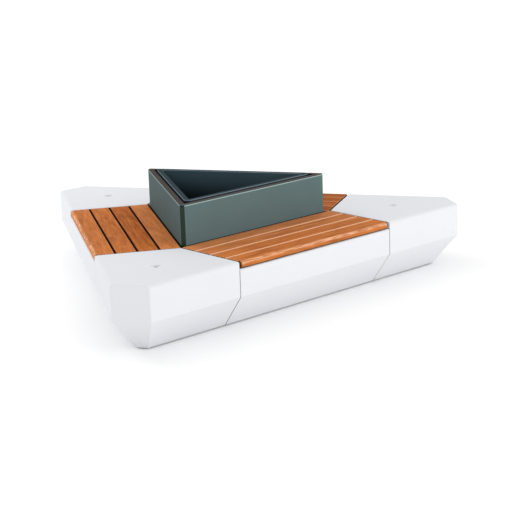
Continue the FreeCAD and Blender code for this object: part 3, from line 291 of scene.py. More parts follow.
def find_arris(tree, section):
    """One along the long upper edges of a board, zero elsewhere."""
    parts = add(tree, "SeparateXYZ", {0: section})
    beside = add(tree, "Math", {0: parts.outputs["Y"]}, operation="ABSOLUTE")
    out = add(tree, "MapRange", {"Value": beside, "From Min": BOARD_WIDTH / 2 - 1.4 * ARRIS,
                                 "From Max": BOARD_WIDTH / 2 - 0.9 * ARRIS})
    up = add(tree, "MapRange", {"Value": parts.outputs["Z"],
                                "From Min": BOARD_THICKNESS / 2 - 2.6 * ARRIS,
                                "From Max": BOARD_THICKNESS / 2 - 2.1 * ARRIS})
    return add(tree, "Math", {0: out, 1: up}, operation="MULTIPLY")


def grow_wood(name, dark, light, straw, roughness):
    """The finish of a board's faces or of its sawn ends."""
    finish, tree = new_finish(name)
    log, section = (add(tree, "Attribute", attribute_name=each).outputs["Vector"]
                    for each in ("log", "section"))
    tone, arris_wear_and_highlight, faded, worn_and_highlighted, painted_gap_shade = (
        add(tree, "Attribute", attribute_name=each).outputs["Fac"]
        for each in ("tone", "arris_wear_and_highlight", "faded", "worn_and_highlighted", "painted_gap_shade"))

    rings = grow_rings(tree, log)
    # Fibres are under half a millimetre thick; they are drawn at 3 mm to show.
    fibres = draw_out(tree, log, 0.3, 3 * MM)
    mottle = draw_out(tree, log, 0.16, 26 * MM)
    ripple = draw_out(tree, log, 14 * MM, 40 * MM)
    # Pores are 0.3 mm wide and some 6 mm long; they are drawn twice as coarse.
    dashes = draw_out(tree, log, 12 * MM, 0.7 * MM)
    pores = add(tree, "MapRange", {"Value": dashes, "From Min": 0.58, "From Max": 0.7})
    figure = grade(tree, [(rings, 0.8), (fibres, 1.5), (mottle, 1.1), (ripple, 0.1)], tone)
    shade = add(tree, "MapRange", {"Value": figure, "From Min": FIGURE_DARK, "From Max": FIGURE_LIGHT})
    along = add(tree, "SeparateXYZ", {0: section}).outputs["X"]
    from_middle = add(tree, "Math", {0: along}, operation="ABSOLUTE")
    dried = add(tree, "MapRange", {"Value": from_middle, "From Min": 0.35, "From Max": 0.8,
                                   "To Max": 0.3})
    arris = add(tree, "Math", {0: find_arris(tree, section), 1: arris_wear_and_highlight}, operation="MULTIPLY")
    streak_noise = draw_out(tree, log, 0.09, 6 * MM)
    streaks = add(tree, "MapRange", {"Value": streak_noise, "From Min": 0.42, "From Max": 0.6,
                                     "To Min": 0.15, "To Max": 1.35})
    pale_streaks = add(tree, "Math", {0: worn_and_highlighted, 1: streaks}, operation="MULTIPLY", use_clamp=True)
    body = lay_over(tree, linear(dark), (shade, light), (pores, dark), (dried, light), (faded, straw),
                    (arris, straw), (pale_streaks, straw), (painted_gap_shade, WOOD_SHADE_BLACK))

    relief = add(tree, "Math", {0: pores, 1: -1.2, 2: fibres}, operation="MULTIPLY_ADD")
    bump = add(tree, "Bump", {"Height": relief, "Strength": 0.4, "Distance": 0.3 * MM})
    gloss = add(tree, "MapRange", {"Value": fibres, "To Min": roughness - 0.08,
                                   "To Max": roughness + 0.1})
    shader = add(tree, "BsdfPrincipled", {"Base Color": body, "Roughness": gloss, "IOR": 1.5,
                                          "Specular IOR Level": 0.06, "Normal": bump})
    add(tree, "OutputMaterial", {"Surface": shader})
    print("wood finish:", name, len(tree.nodes), "nodes")
    return finish


wood = grow_wood("oiled_hardwood", "#8a3d08", "#da823a", "#f4bf99", 0.75)
end_grain = grow_wood("oiled_hardwood_end_grain", "#43200c", "#6e3a17", "#e0a070", 0.8)

# %% [markdown]
# ## Powder coat
# The casing, its posts and the liner are sheet steel with a baked powder coat. Powder flows into
# a fine orange-peel skin that breaks up highlights. Three coats share one recipe: the casing is
# grey-green, the posts nearly black, the liner blue-grey. Faces that look up are painted darker as
# shade, and on the casing's flange that colour is brown, a painted reflection of the wood. On the
# round of a fold a paler line is a painted highlight, and a dark band on the round above it is
# painted shade. Low down, behind the seats and deep in the tub, the coat is painted darker as
# shade. All this follows from which way a face looks, how high it lies and how far from the middle.

# %% The powder coat's recipe
# The black of painted shade deep in a gap, and on a whole panel by its share.
COAT_SHADE_BLACK = "#0b0e0f"
LEVEL_ENOUGH = 0.85


def come_and_go(tree, value, most, start, full, fading, gone):
    """A share that comes between two values, and goes again between two more."""
    coming = add(tree, "MapRange", {"Value": value, "From Min": start, "From Max": full},
                 interpolation_type="SMOOTHSTEP")
    going = add(tree, "MapRange", {"Value": value, "From Min": fading, "From Max": gone,
                                   "To Min": most, "To Max": 0}, interpolation_type="SMOOTHSTEP")
    return add(tree, "Math", {0: coming, 1: going}, operation="MULTIPLY")


def powder_coat(name, colour, patch, folds, level_shade, low_shade, roughness):
    """A baked coat with orange peel, painted highlight and shade along the folds, painted shade on
    level faces and a foot painted darker as shade.

    Each line along a fold is a colour, a share, and the four tilts between which it comes and
    goes. The painted shade on level faces is a colour and a share. The low painted shade is a
    colour with two heights, and how far out from the middle it reaches. An attribute paints shade
    on what lies deep in a gap.
    """
    finish, tree = new_finish(name)
    where = add(tree, "TexCoord").outputs["Object"]
    patches = add(tree, "TexNoise", {"Vector": where, "Scale": 1 / (180 * MM), "Detail": 4})
    # Orange peel waves are 0.8 mm long; they are drawn at 2 mm.
    peel = add(tree, "TexNoise", {"Vector": where, "Scale": 1 / (2 * MM), "Detail": 1})
    upward = add(tree, "SeparateXYZ", {0: add(tree, "NewGeometry").outputs["Normal"]}).outputs["Z"]
    height = add(tree, "SeparateXYZ", {0: where}).outputs["Z"]

    low_shade_colour, unshaded_level, shaded_level, reach = low_shade
    low_down = add(tree, "MapRange", {"Value": height, "From Min": unshaded_level,
                                      "From Max": shaded_level}, interpolation_type="SMOOTHSTEP")
    within = add(tree, "Math", {0: find_depth(tree, where), 1: reach}, operation="LESS_THAN")
    low_shaded = add(tree, "Math", {0: low_down, 1: within}, operation="MULTIPLY")
    fold_lines = [(come_and_go(tree, upward, *tilts), mark) for mark, *tilts in folds]
    level_shade_colour, most_level_shade = level_shade
    level = add(tree, "MapRange", {"Value": upward, "From Min": LEVEL_ENOUGH, "From Max": 1.0,
                                   "To Max": most_level_shade}, interpolation_type="SMOOTHSTEP")
    patchy = add(tree, "Math", {0: patches, 1: 0.4, 2: 0.8}, operation="MULTIPLY_ADD")
    level_shaded = add(tree, "Math", {0: level, 1: patchy}, operation="MULTIPLY", use_clamp=True)
    painted_coat_shade = add(tree, "Attribute", attribute_name="painted_coat_shade").outputs["Fac"]
    coat = lay_over(tree, linear(patch), (patches, colour), (low_shaded, low_shade_colour), *fold_lines,
                    (level_shaded, level_shade_colour), (painted_coat_shade, COAT_SHADE_BLACK))

    bump = add(tree, "Bump", {"Height": peel, "Strength": 0.25, "Distance": 0.1 * MM})
    sheen = add(tree, "MapRange", {"Value": level_shaded, "To Min": roughness, "To Max": 0.85})
    shader = add(tree, "BsdfPrincipled", {"Base Color": coat, "Roughness": sheen, "IOR": 1.5,
                                          "Specular IOR Level": 0.06, "Normal": bump})
    add(tree, "OutputMaterial", {"Surface": shader})
    print("powder coat:", name, len(tree.nodes), "nodes")
    return finish


# %% The three powder coats
# The seats hide the casing below their top, and there it is painted darker as shade.
SEAT_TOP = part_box("seat_board_front_4")[1].z
RIM_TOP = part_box("planter_liner")[1].z
RIM_WIDTH = 34 * MM
SHEET = 3 * MM
INSIDE_TUB = middle.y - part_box("planter_liner")[0].y - RIM_WIDTH + SHEET / 2
# Along the folds: on the casing a painted highlight with painted shade above it, on the rim a painted
# highlight.
FOLD_HIGHLIGHT_LINE = ("#b4cac8", 0.8, 0.03, 0.1, 0.4, 0.62)
FOLD_SHADE_LINE = ("#26302b", 0.65, 0.55, 0.75, 0.93, 0.99)
RIM_FOLD_HIGHLIGHT = ("#a9b8c4", 0.8, 0.06, 0.22, 0.45, 0.75)
# Level faces get painted shade, on the casing a brown painted reflection of the wood; low down, painted
# shade.
casing_coat = powder_coat("grey_green_powder_coat", "#62797a", "#5d7374", (FOLD_HIGHLIGHT_LINE, FOLD_SHADE_LINE),
                          ("#54403a", 0.85),
                          ("#0d100f", SEAT_TOP + 3 * MM, SEAT_TOP - 3 * MM, FACE_DEPTH), 0.7)
post_coat = powder_coat("green_black_powder_coat", "#35423a", "#2e3a33", (), ("#2a2624", 0.3),
                        ("#0d100e", SEAT_TOP, SEAT_TOP - 12 * MM, FACE_DEPTH), 0.6)
liner_coat = powder_coat("blue_grey_powder_coat", "#42575f", "#3a4d56", (RIM_FOLD_HIGHLIGHT,),
                         ("#2c383e", 0.95),
                         ("#0d1518", RIM_TOP - 20 * MM, RIM_TOP - 240 * MM, INSIDE_TUB), 0.6)

# %% [markdown]
# ## Metals, rubber and plastic
# What holds the bench together shows only through gaps and from below, but it is still finished
# as what it is. Hot-dip galvanising crystallises into spangles about a centimetre across.
# Stainless fasteners are plain and fairly bright. Pads are moulded rubber, the drain moulded
# polypropylene, and both are nearly black with a dull skin.

# %% Galvanised and stainless steel
def grow_spangles(tree, where):
    """Crystals of zinc, each with a grey of its own."""
    spangles = add(tree, "TexVoronoi", {"Vector": where, "Scale": 1 / (11 * MM)})
    return add(tree, "SeparateColor", {0: spangles.outputs["Color"]})


def draw_marks(tree, where):
    """The faint marks that rolling and drawing leave."""
    return add(tree, "TexNoise", {"Vector": where, "Scale": 1 / (3 * MM), "Detail": 3})


def bare_metal(name, make_pattern, dark, pale, brightest, dullest):
    """A metal without a coat, whose colour and roughness follow one pattern."""
    finish, tree = new_finish(name)
    pattern = make_pattern(tree, add(tree, "TexCoord").outputs["Object"])
    colour = lay_over(tree, linear(dark), (pattern, pale))
    dull = add(tree, "MapRange", {"Value": pattern, "To Min": brightest, "To Max": dullest})
    shader = add(tree, "BsdfPrincipled", {"Base Color": colour, "Metallic": 1.0, "Roughness": dull})
    add(tree, "OutputMaterial", {"Surface": shader})
    return finish


galvanised = bare_metal("hot_dip_galvanised_steel", grow_spangles, "#8d9295", "#b9bdbf", 0.38, 0.58)
stainless = bare_metal("plain_stainless_steel", draw_marks, "#a7a8a6", "#c9c9c6", 0.25, 0.42)
print("metal finishes:", galvanised.name, stainless.name)


# %% Rubber and plastic
def moulded(name, pale, deep, grit, roughness):
    """A moulded black material with a fine skin of a given grit."""
    finish, tree = new_finish(name)
    where = add(tree, "TexCoord").outputs["Object"]
    skin = add(tree, "TexNoise", {"Vector": where, "Scale": 1 / grit, "Detail": 2})
    colour = lay_over(tree, linear(deep), (skin, pale))
    bump = add(tree, "Bump", {"Height": skin, "Strength": 0.3, "Distance": grit / 8})
    shader = add(tree, "BsdfPrincipled", {"Base Color": colour, "Roughness": roughness,
                                          "Normal": bump})
    add(tree, "OutputMaterial", {"Surface": shader})
    return finish


rubber = moulded("moulded_black_rubber", "#2b2c2d", "#1d1e1f", 1.5 * MM, 0.8)
plastic = moulded("moulded_black_polypropylene", "#232425", "#19191a", 0.8 * MM, 0.45)
print("moulded finishes:", rubber.name, plastic.name)

# %% [markdown]
# ## Tools for the pieces
# A block is a few corners, extruded level by level. What makes it look cast, sawn or folded is
# the rounding of its edges, and each kind of edge has its own radius. The Bevel modifier reads a
# weight from each edge, so one pass can round all of them. It sets back the faces by a width,
# and for a radius that width is the radius times the tangent of half the angle at the edge.

# %% Tools for extruding and rounding
def corners_of(geometry):
    """The vertices among what an operator gives back."""
    return [item for item in geometry if isinstance(item, bmesh.types.BMVert)]


def extrude_to(bm, face, old, new):
    """Extrude a face whose corners lie at the old points, and put it at the new ones."""
    grown = bmesh.ops.extrude_face_region(bm, geom=[face, *face.edges])["geom"]
    for corner in corners_of(grown):
        nearest = min(range(len(old)), key=lambda index: (corner.co - old[index]).length)
        corner.co = new[nearest]
    return next(item for item in grown if isinstance(item, bmesh.types.BMFace))


def slice_through(bm, point, normal, drop_beyond=False):
    """Cut every face along a plane, and drop what lies beyond it where that is wanted."""
    everything = [*bm.verts, *bm.edges, *bm.faces]
    bmesh.ops.bisect_plane(bm, geom=everything, plane_co=point, plane_no=normal,
                           clear_outer=drop_beyond)


def weigh_edges(bm, radius_of):
    """Write each edge's bevel weight for its own radius, and return the widest bevel."""
    weight = bm.edges.layers.float.new("bevel_weight_edge")
    widths = {}
    for edge in bm.edges:
        radius = radius_of(edge)
        if radius:
            widths[edge] = radius * math.tan(edge.calc_face_angle() / 2)
    widest = max(widths.values())
    for edge, width in widths.items():
        edge[weight] = width / widest
    return widest


def new_piece(name, bm, is_closed=True):
    """An object from a bmesh. A closed one has its faces turned outwards."""
    if is_closed:
        bmesh.ops.recalc_face_normals(bm, faces=bm.faces)
    mesh = bpy.data.meshes.new(name)
    bm.to_mesh(mesh)
    bm.free()
    piece = bpy.data.objects.new(name, mesh)
    bpy.context.scene.collection.objects.link(piece)
    return piece


def settle(piece):
    """Apply a piece's modifiers."""
    seen = bpy.context.evaluated_depsgraph_get()
    mesh = bpy.data.meshes.new_from_object(piece.evaluated_get(seen))
    piece.modifiers.clear()
    piece.data = mesh


def round_edges(piece, width, segments):
    """Round the weighted edges of a piece."""
    bevel = piece.modifiers.new("rounding", "BEVEL")
    bevel.limit_method = "WEIGHT"
    bevel.width = width
    bevel.segments = segments
    bevel.profile = 0.5
    bevel.use_clamp_overlap = False
    settle(piece)


print("a bevel for a 10 mm radius at a right angle:", round(10 * math.tan(math.radians(45))), "mm")

# %% Tools for cutting and finishing
SHARP_ANGLE = 32


def smooth(piece):
    """Smooth shading whose normals follow the large faces, so flats stay flat."""
    for polygon in piece.data.polygons:
        polygon.use_smooth = True
    piece.data.set_sharp_from_angle(angle=math.radians(SHARP_ANGLE))
    weighted = piece.modifiers.new("flat_faces", "WEIGHTED_NORMAL")
    weighted.weight = 100
    weighted.keep_sharp = True
    settle(piece)


def cut(piece, tool):
    """Take the volume of a tool out of a piece, and remove the tool."""
    difference = piece.modifiers.new("cut", "BOOLEAN")
    difference.object = tool
    difference.solver = "EXACT"
    settle(piece)
    bpy.data.objects.remove(tool)


def choose_finish(piece, number, is_chosen):
    """Give the faces that a test picks one of the piece's other finishes."""
    for face in piece.data.polygons:
        if is_chosen(face):
            face.material_index = number


def finish_piece(piece, turn, finishes, body, slot, *nodes):
    """Put a finished piece in its place in the ring, on its body, for its nodes."""
    piece.data.transform(place(turn))
    for finish in finishes:
        piece.data.materials.append(finish)
    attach(piece, body)
    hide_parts(*nodes)


print("edges turned by more than", SHARP_ANGLE, "degrees stay sharp")

# %% [markdown]
# ## The corner blocks
# A corner block stands on a small foot, slopes outwards, and ends in an upright band. In plan it
# has five corners: the inner one, two where the long faces meet a seam, and two at the blunt
# end. The same outline at three heights, each with its own depth and reach, gives the block.

# %% Read the sizes of the blocks
low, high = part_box("side_block_front")
foot_level = low.z
inner_depth = middle.y - high.y
side_half = high.x
low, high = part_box("corner_block_rear")
blunt_reach = high.y - middle.y
inner_reach = low.y - middle.y
stone_top = high.z
seam_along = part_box("corner_block_front_right")[0].x

BAND_BOTTOM = 223 * MM
FOOT_INSET = 160 * MM
CROWN_RADIUS = 26 * MM
BLUNT_CROWN_RADIUS = 11 * MM
FACET_RADIUS = 15 * MM
BAND_RADIUS = 8 * MM
ARRIS_RADIUS = 4 * MM
FOOT_RADIUS = 2 * MM
BLOCK_SEGMENTS = 8
NEAR = 0.1 * MM
print("seam gap:", round((seam_along - side_half) / MM, 2), "mm")


# %% Draw a corner block
def corner_outline(depth, reach, height):
    """Five corners: inner edge, seam, blunt end, blunt end, seam."""
    seam_x = depth * COS + seam_along * SIN
    seam_y = depth * SIN - seam_along * COS
    blunt_y = (depth - reach * COS) / SIN
    flat = [(inner_reach, 0), (seam_x, -seam_y), (reach, -blunt_y), (reach, blunt_y), (seam_x, seam_y)]
    return [Vector((x, y, height)) for x, y in flat]


def is_on_seam(point):
    """Whether a point lies in the plane of a seam."""
    return abs(point.x * SIN - abs(point.y) * COS - seam_along) < NEAR


def is_joint_face(face):
    """Whether a face lies inside a joint between two blocks."""
    return is_on_seam(face.center) and abs(face.normal.z) < 0.01


def corner_radius(edge):
    """The radius of an edge of a corner block."""
    first, last = (vertex.co for vertex in edge.verts)
    levels = sorted((first.z, last.z))
    if is_on_seam(first) and is_on_seam(last):
        inner = abs(first.y) < NEAR and abs(last.y) < NEAR
        return 0 if inner or levels[1] < foot_level + NEAR else ARRIS_RADIUS
    if levels[0] > stone_top - NEAR:
        at_blunt_end = min(first.x, last.x) > blunt_reach - NEAR
        return BLUNT_CROWN_RADIUS if at_blunt_end else CROWN_RADIUS
    if levels[1] < foot_level + NEAR:
        return FOOT_RADIUS
    if levels[1] - levels[0] < NEAR:
        return BAND_RADIUS
    return FACET_RADIUS


def draw_corner_block(name):
    """A corner block in the corner's frame, drawn from its foot up."""
    foot = corner_outline(FACE_DEPTH - FOOT_INSET, blunt_reach - FOOT_INSET, foot_level)
    band = corner_outline(FACE_DEPTH, blunt_reach, BAND_BOTTOM)
    top = corner_outline(FACE_DEPTH, blunt_reach, stone_top)
    bm = bmesh.new()
    face = bm.faces.new([bm.verts.new(point) for point in foot])
    face = extrude_to(bm, face, foot, band)
    extrude_to(bm, face, band, top)
    bmesh.ops.recalc_face_normals(bm, faces=bm.faces)
    widest = weigh_edges(bm, corner_radius)
    piece = new_piece(name, bm)
    round_edges(piece, widest, BLOCK_SEGMENTS)
    return piece


# %% [markdown]
# Each corner block has a shallow round hollow on top, with the mouth of a cast-in lifting socket
# in its floor. A cast edge is never sharp, so the hollow's rim is rounded, and so is the line
# where its wall meets its floor. Spinning half a section makes a tool of that shape, and a
# boolean takes it out of the block.

# %% The tool for the lifting hollow
low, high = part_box("lifting_socket_rear")
socket_radius = (high.x - low.x) / 2
hollow_reach = (low.y + high.y) / 2 - middle.y
hollow_floor = high.z
socket_bottom = low.z
HOLLOW_RADIUS = 30 * MM
HOLLOW_ROUND = 2.5 * MM
SOCKET_CLEARANCE = 0.3 * MM
ROUND_STEPS = 6
SPIN_STEPS = 64


def arc(centre, radius, start, end):
    """Points on an arc in the XZ plane, from one angle to another in degrees."""
    angles = [math.radians(start + (end - start) * step / ROUND_STEPS) for step in range(ROUND_STEPS + 1)]
    return [(centre[0] + radius * math.cos(a), centre[1] + radius * math.sin(a)) for a in angles]


def hollow_tool():
    """A solid of the hollow's shape, standing in the corner's frame."""
    above = stone_top + HOLLOW_ROUND
    hole = socket_radius + SOCKET_CLEARANCE
    rim = arc((HOLLOW_RADIUS + HOLLOW_ROUND, stone_top - HOLLOW_ROUND), HOLLOW_ROUND, 90, 180)
    root = arc((HOLLOW_RADIUS - HOLLOW_ROUND, hollow_floor + HOLLOW_ROUND), HOLLOW_ROUND, 0, -90)
    half = [(0, above), (HOLLOW_RADIUS + HOLLOW_ROUND, above), *rim, *root,
            (hole, hollow_floor), (hole, socket_bottom), (0, socket_bottom)]
    bm = bmesh.new()
    line = [bm.verts.new((x + hollow_reach, 0, z)) for x, z in half]
    edges = [bm.edges.new(pair) for pair in zip(line, line[1:])]
    bmesh.ops.spin(bm, geom=line + edges, cent=(hollow_reach, 0, 0), axis=(0, 0, 1),
                   angle=math.tau, steps=SPIN_STEPS, use_merge=True)
    bmesh.ops.remove_doubles(bm, verts=bm.verts, dist=NEAR / 10)
    return new_piece("hollow_tool", bm)


# %% Make the three corner blocks
for name, turn in CORNERS.items():
    block = draw_corner_block(f"stone_corner_{name}")
    cut(block, hollow_tool())
    smooth(block)
    choose_finish(block, 1, is_joint_face)
    finish_piece(block, turn, [stone, shaded_joint_stone], "bench", "cast_stone", f"corner_block_{name}")
    print(block.name, len(block.data.polygons), "faces")

# %% [markdown]
# ## The side blocks
# A side block has the same section from end to end: the slope, the band, a lip in front and a
# low shelf behind it that carries the bearers of the seat. Drawing that section once and
# extruding it along the side gives the block, and its ends get the same arris as the corners.

# %% Make the three side blocks
LIP_WIDTH = 35 * MM
LIP_RADIUS = 14 * MM


def side_radius(edge):
    """The radius of an edge of a side block."""
    first, last = (vertex.co for vertex in edge.verts)
    if abs(first.x - last.x) < NEAR:
        in_front = max(first.y, last.y) < -(FACE_DEPTH - FOOT_INSET) + NEAR
        return ARRIS_RADIUS if in_front else 0
    if first.y > -(FACE_DEPTH - LIP_WIDTH) + NEAR:
        return 0
    if first.z > LIP_LEVEL - NEAR:
        return LIP_RADIUS if first.y < -FACE_DEPTH + NEAR else FOOT_RADIUS
    return BAND_RADIUS if first.z > foot_level + NEAR else 0


def is_hidden_face(face):
    """Whether a face lies in a joint, or behind the lip and so under the seat."""
    in_joint = abs(face.center.x) > side_half - NEAR and abs(face.normal.x) > 0.99
    return in_joint or face.center.y > -(FACE_DEPTH - LIP_RADIUS) + NEAR and face.normal.z > -0.5


section = [
    (-(FACE_DEPTH - FOOT_INSET), foot_level), (-FACE_DEPTH, BAND_BOTTOM), (-FACE_DEPTH, LIP_LEVEL),
    (-(FACE_DEPTH - LIP_WIDTH), LIP_LEVEL), (-(FACE_DEPTH - LIP_WIDTH), SHELF_LEVEL),
    (-inner_depth, SHELF_LEVEL), (-inner_depth, foot_level),
]
for name, turn in SIDES.items():
    start = [Vector((-side_half, y, z)) for y, z in section]
    end = [Vector((side_half, y, z)) for y, z in section]
    bm = bmesh.new()
    extrude_to(bm, bm.faces.new([bm.verts.new(point) for point in start]), start, end)
    bmesh.ops.recalc_face_normals(bm, faces=bm.faces)
    widest = weigh_edges(bm, side_radius)
    block = new_piece(f"stone_side_{name}", bm)
    round_edges(block, widest, BLOCK_SEGMENTS)
    smooth(block)
    choose_finish(block, 1, is_hidden_face)
    finish_piece(block, turn, [stone, shaded_joint_stone], "bench", "cast_stone", f"side_block_{name}")
    print(block.name, len(block.data.polygons), "faces")

# %% [markdown]
# ## The seat boards
# Each seat has four boards. The outer one has a full rounded nose, because people sit down over
# it, and the others have small eased arrises. A board starts as its section, one face whose
# corners are rounded by a vertex bevel, each with its own radius. Extruding that face gives the
# length, and a last bevel eases the sawn ends, as a planer and then a router would.

# %% Draw a board
NOSE_RADIUS = 26 * MM
NOSE_END_RADIUS = 18 * MM
NOSE_END_CUTS = (0.29, 0.62, 1.0, 1.35)
UNDER_NOSE_RADIUS = 14 * MM
UNDER_RADIUS = 3.5 * MM
END_RADIUS = 3 * MM
END_STEPS = 3
STEP_SIZE = 5 * MM


def round_nose_ends(bm, half):
    """Round the two outer corners of a nosed board, seen from above, as a router would."""
    for hand in (-1, 1):
        for share_in in NOSE_END_CUTS:
            cut_at = hand * (half.x - share_in * NOSE_END_RADIUS)
            slice_through(bm, (cut_at, 0, 0), (1, 0, 0))
    nose_line = -half.y + NOSE_RADIUS
    for vertex in bm.verts:
        from_end = half.x - abs(vertex.co.x)
        if from_end > NOSE_END_RADIUS - NEAR or vertex.co.y > nose_line:
            continue
        into_arc = NOSE_END_RADIUS - from_end
        drawn_back = NOSE_END_RADIUS - math.sqrt(NOSE_END_RADIUS ** 2 - into_arc ** 2)
        vertex.co.y += drawn_back * (nose_line - vertex.co.y) / NOSE_RADIUS


def draw_board(name, centre, size, is_nosed):
    """One board in a side's frame, with its front towards -Y."""
    half = size / 2
    upper, lower = (NOSE_RADIUS, UNDER_NOSE_RADIUS) if is_nosed else (ARRIS, UNDER_RADIUS)
    corners = [(-half.y, half.z, upper), (half.y, half.z, ARRIS), (half.y, -half.z, UNDER_RADIUS),
               (-half.y, -half.z, lower)]
    bm = bmesh.new()
    rounded = [(bm.verts.new((-half.x, y, z)), radius) for y, z, radius in corners]
    bm.faces.new([vertex for vertex, radius in rounded])
    for vertex, radius in rounded:
        steps = END_STEPS + round(radius / STEP_SIZE)
        bmesh.ops.bevel(bm, geom=[vertex], offset=radius, segments=steps, profile=0.5,
                        affect="VERTICES", material=-1)
    section = next(iter(bm.faces))
    grown = bmesh.ops.extrude_face_region(bm, geom=[section, *section.edges])["geom"]
    bmesh.ops.translate(bm, vec=(size.x, 0, 0), verts=corners_of(grown))
    around_ends = [edge for edge in bm.edges if edge.calc_length() < size.x - NEAR]
    bmesh.ops.bevel(bm, geom=around_ends, offset=END_RADIUS, segments=END_STEPS, profile=0.5,
                    affect="EDGES", material=-1)
    if is_nosed:
        round_nose_ends(bm, half)
    bmesh.ops.translate(bm, vec=centre, verts=bm.verts)
    return new_piece(name, bm)


# %% [markdown]
# The maps for the grain are written before the board is turned to its place: each board comes
# from another stretch and another depth of the log, so no two show the same figure. The same
# pass writes where the board gets painted shade and where it gets its pale band of wear and
# painted highlight. Both follow the way that the surface looks: down and towards a gap it gets
# painted shade, and on the round of the nose and around the ends it gets the pale band.

# %% Write the maps of a board
LOG_STRETCH = 2.7
LOG_TILTS = (-1.0, 1.5)
HEART_DISTANCES = (60 * MM, 150 * MM, 95 * MM, 210 * MM, 80 * MM)
HEART_SHIFTS = (-30 * MM, 45 * MM, 10 * MM, -70 * MM, 25 * MM, -5 * MM, 60 * MM)
# Shares of the pale band on the nose and the ends: partly wear, partly painted highlight.
END_WEAR_AND_HIGHLIGHT, CREST_WEAR_AND_HIGHLIGHT, CORNER_WEAR_AND_HIGHLIGHT, CORNER_FADING = 0.6, 0.7, 0.9, 3


def write_map(mesh, name, values):
    """Keep one number or one vector for each vertex."""
    is_vector = isinstance(values[0], Vector)
    layer = mesh.attributes.new(name, "FLOAT_VECTOR" if is_vector else "FLOAT", "POINT")
    if is_vector:
        layer.data.foreach_set("vector", [part for value in values for part in value])
    else:
        layer.data.foreach_set("value", values)


def find_painted_gap_shade(point, half, is_nosed, unshaded):
    """How much painted shade a point gets: at an end, underneath, or down a side below its unshaded part.
    """
    from_end = half.x - abs(point.x)
    on_nose = is_nosed and point.y < -half.y + NOSE_RADIUS
    if from_end < NEAR:
        return 1
    if on_nose:
        near_end = max(0, 1 - from_end / (NOSE_END_RADIUS - NEAR))
        under = (UNDER_NOSE_RADIUS / 2 - half.z - point.z) / (UNDER_NOSE_RADIUS / 2)
        return max(near_end, min(1, under))
    at_side = abs(point.y) > half.y - ARRIS + NEAR
    below_unshaded = (half.z - unshaded - point.z) / (ARRIS / 2)
    return max(0, min(1, below_unshaded)) if at_side or point.z < 0 else 0


def find_wear_and_highlight(point, half, is_nosed):
    """How pale a point of the surface is, on the nose and around the ends: wear and painted highlight."""
    from_end = half.x - abs(point.x)
    out, up = -half.y + NOSE_RADIUS - point.y, point.z - half.z + NOSE_RADIUS
    if not (is_nosed and out > NEAR and up > NEAR):
        return END_WEAR_AND_HIGHLIGHT if NEAR < from_end < END_RADIUS - NEAR else 0
    crest = CREST_WEAR_AND_HIGHLIGHT * math.sin(2 * math.atan2(out, up)) ** 2
    before_round = abs(from_end - NOSE_END_RADIUS) / NOSE_END_RADIUS
    return max(crest if from_end > NOSE_END_RADIUS else 0, CORNER_WEAR_AND_HIGHLIGHT - CORNER_FADING * before_round)


def write_maps(board, centre, size, is_nosed, number, tone, arris_wear_and_highlight, faded, unshaded):
    """Write what the wood finish reads at each vertex."""
    tilt = Matrix.Rotation(math.radians(LOG_TILTS[number % 2]), 3, "Y")
    shift = Vector((0, HEART_SHIFTS[number % 7], HEART_DISTANCES[number % 5]))
    stretch = Vector((LOG_STRETCH * number, 0, 0))
    places = [vertex.co - centre for vertex in board.data.vertices]
    write_map(board.data, "section", places)
    write_map(board.data, "log", [tilt @ (point + shift) + stretch for point in places])
    for name, value in (("tone", tone), ("arris_wear_and_highlight", arris_wear_and_highlight), ("faded", faded)):
        write_map(board.data, name, [value] * len(places))
    write_map(board.data, "painted_gap_shade",
              [find_painted_gap_shade(point, size / 2, is_nosed, unshaded) for point in places])
    write_map(board.data, "worn_and_highlighted", [find_wear_and_highlight(point, size / 2, is_nosed) for point in places])


# %% Make the twelve boards
# For each side: the tone of its four boards, how faded they are, how strong the pale band on their
# arrises is (wear and painted highlight), and how far down a gap stays free of painted shade.
WEAR_AND_PAINTED_LIGHT = {
    "front": ((0.02, 0.02, 0.02, 0.04), (0.04, 0.05, 0.1, 0.16), 1.0, 9 * MM),
    "right": ((-0.4, -0.45, -0.3, -0.45), (0.0, 0.0, 0.0, 0.0), 0.5, 3 * MM),
    "left": ((0.12, 0.05, -0.12, 0.18), (0.05, 0.03, 0.0, 0.08), 0.1, -0.8 * MM),
}
number = 0
for side, turn in SIDES.items():
    tones, fading, arris_wear_and_highlight, unshaded = WEAR_AND_PAINTED_LIGHT[side]
    for index, (tone, faded) in enumerate(zip(tones, fading), start=1):
        low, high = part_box(f"seat_board_front_{index}")
        centre, size = (low + high) / 2 - middle, high - low
        board = draw_board(f"board_{side}_{index}", centre, size, index == 1)
        smooth(board)
        write_maps(board, centre, size, index == 1, number, tone, arris_wear_and_highlight, faded, unshaded)
        choose_finish(board, 1, lambda face: abs(face.normal.x) > 0.9)
        finish_piece(board, turn, [wood, end_grain], "bench", "seat_timber",
                     f"seat_board_{side}_{index}")
        number += 1
print("boards:", number, "of", [round(value, 4) for value in size])

# %% [markdown]
# ## The casing of the planter
# Each side of the casing is one sheet, folded twice: an upright face, a flange on top, and a
# short lip turned down inside. A strip with two folds is drawn flat on, its folds are rounded,
# and planes then cut the blunt ends and the mitres, as a guillotine would. Then it gets the
# sheet's thickness, and its cut edges are eased as a coat of paint eases them. The studs that
# hold it to the posts are welded to its back.

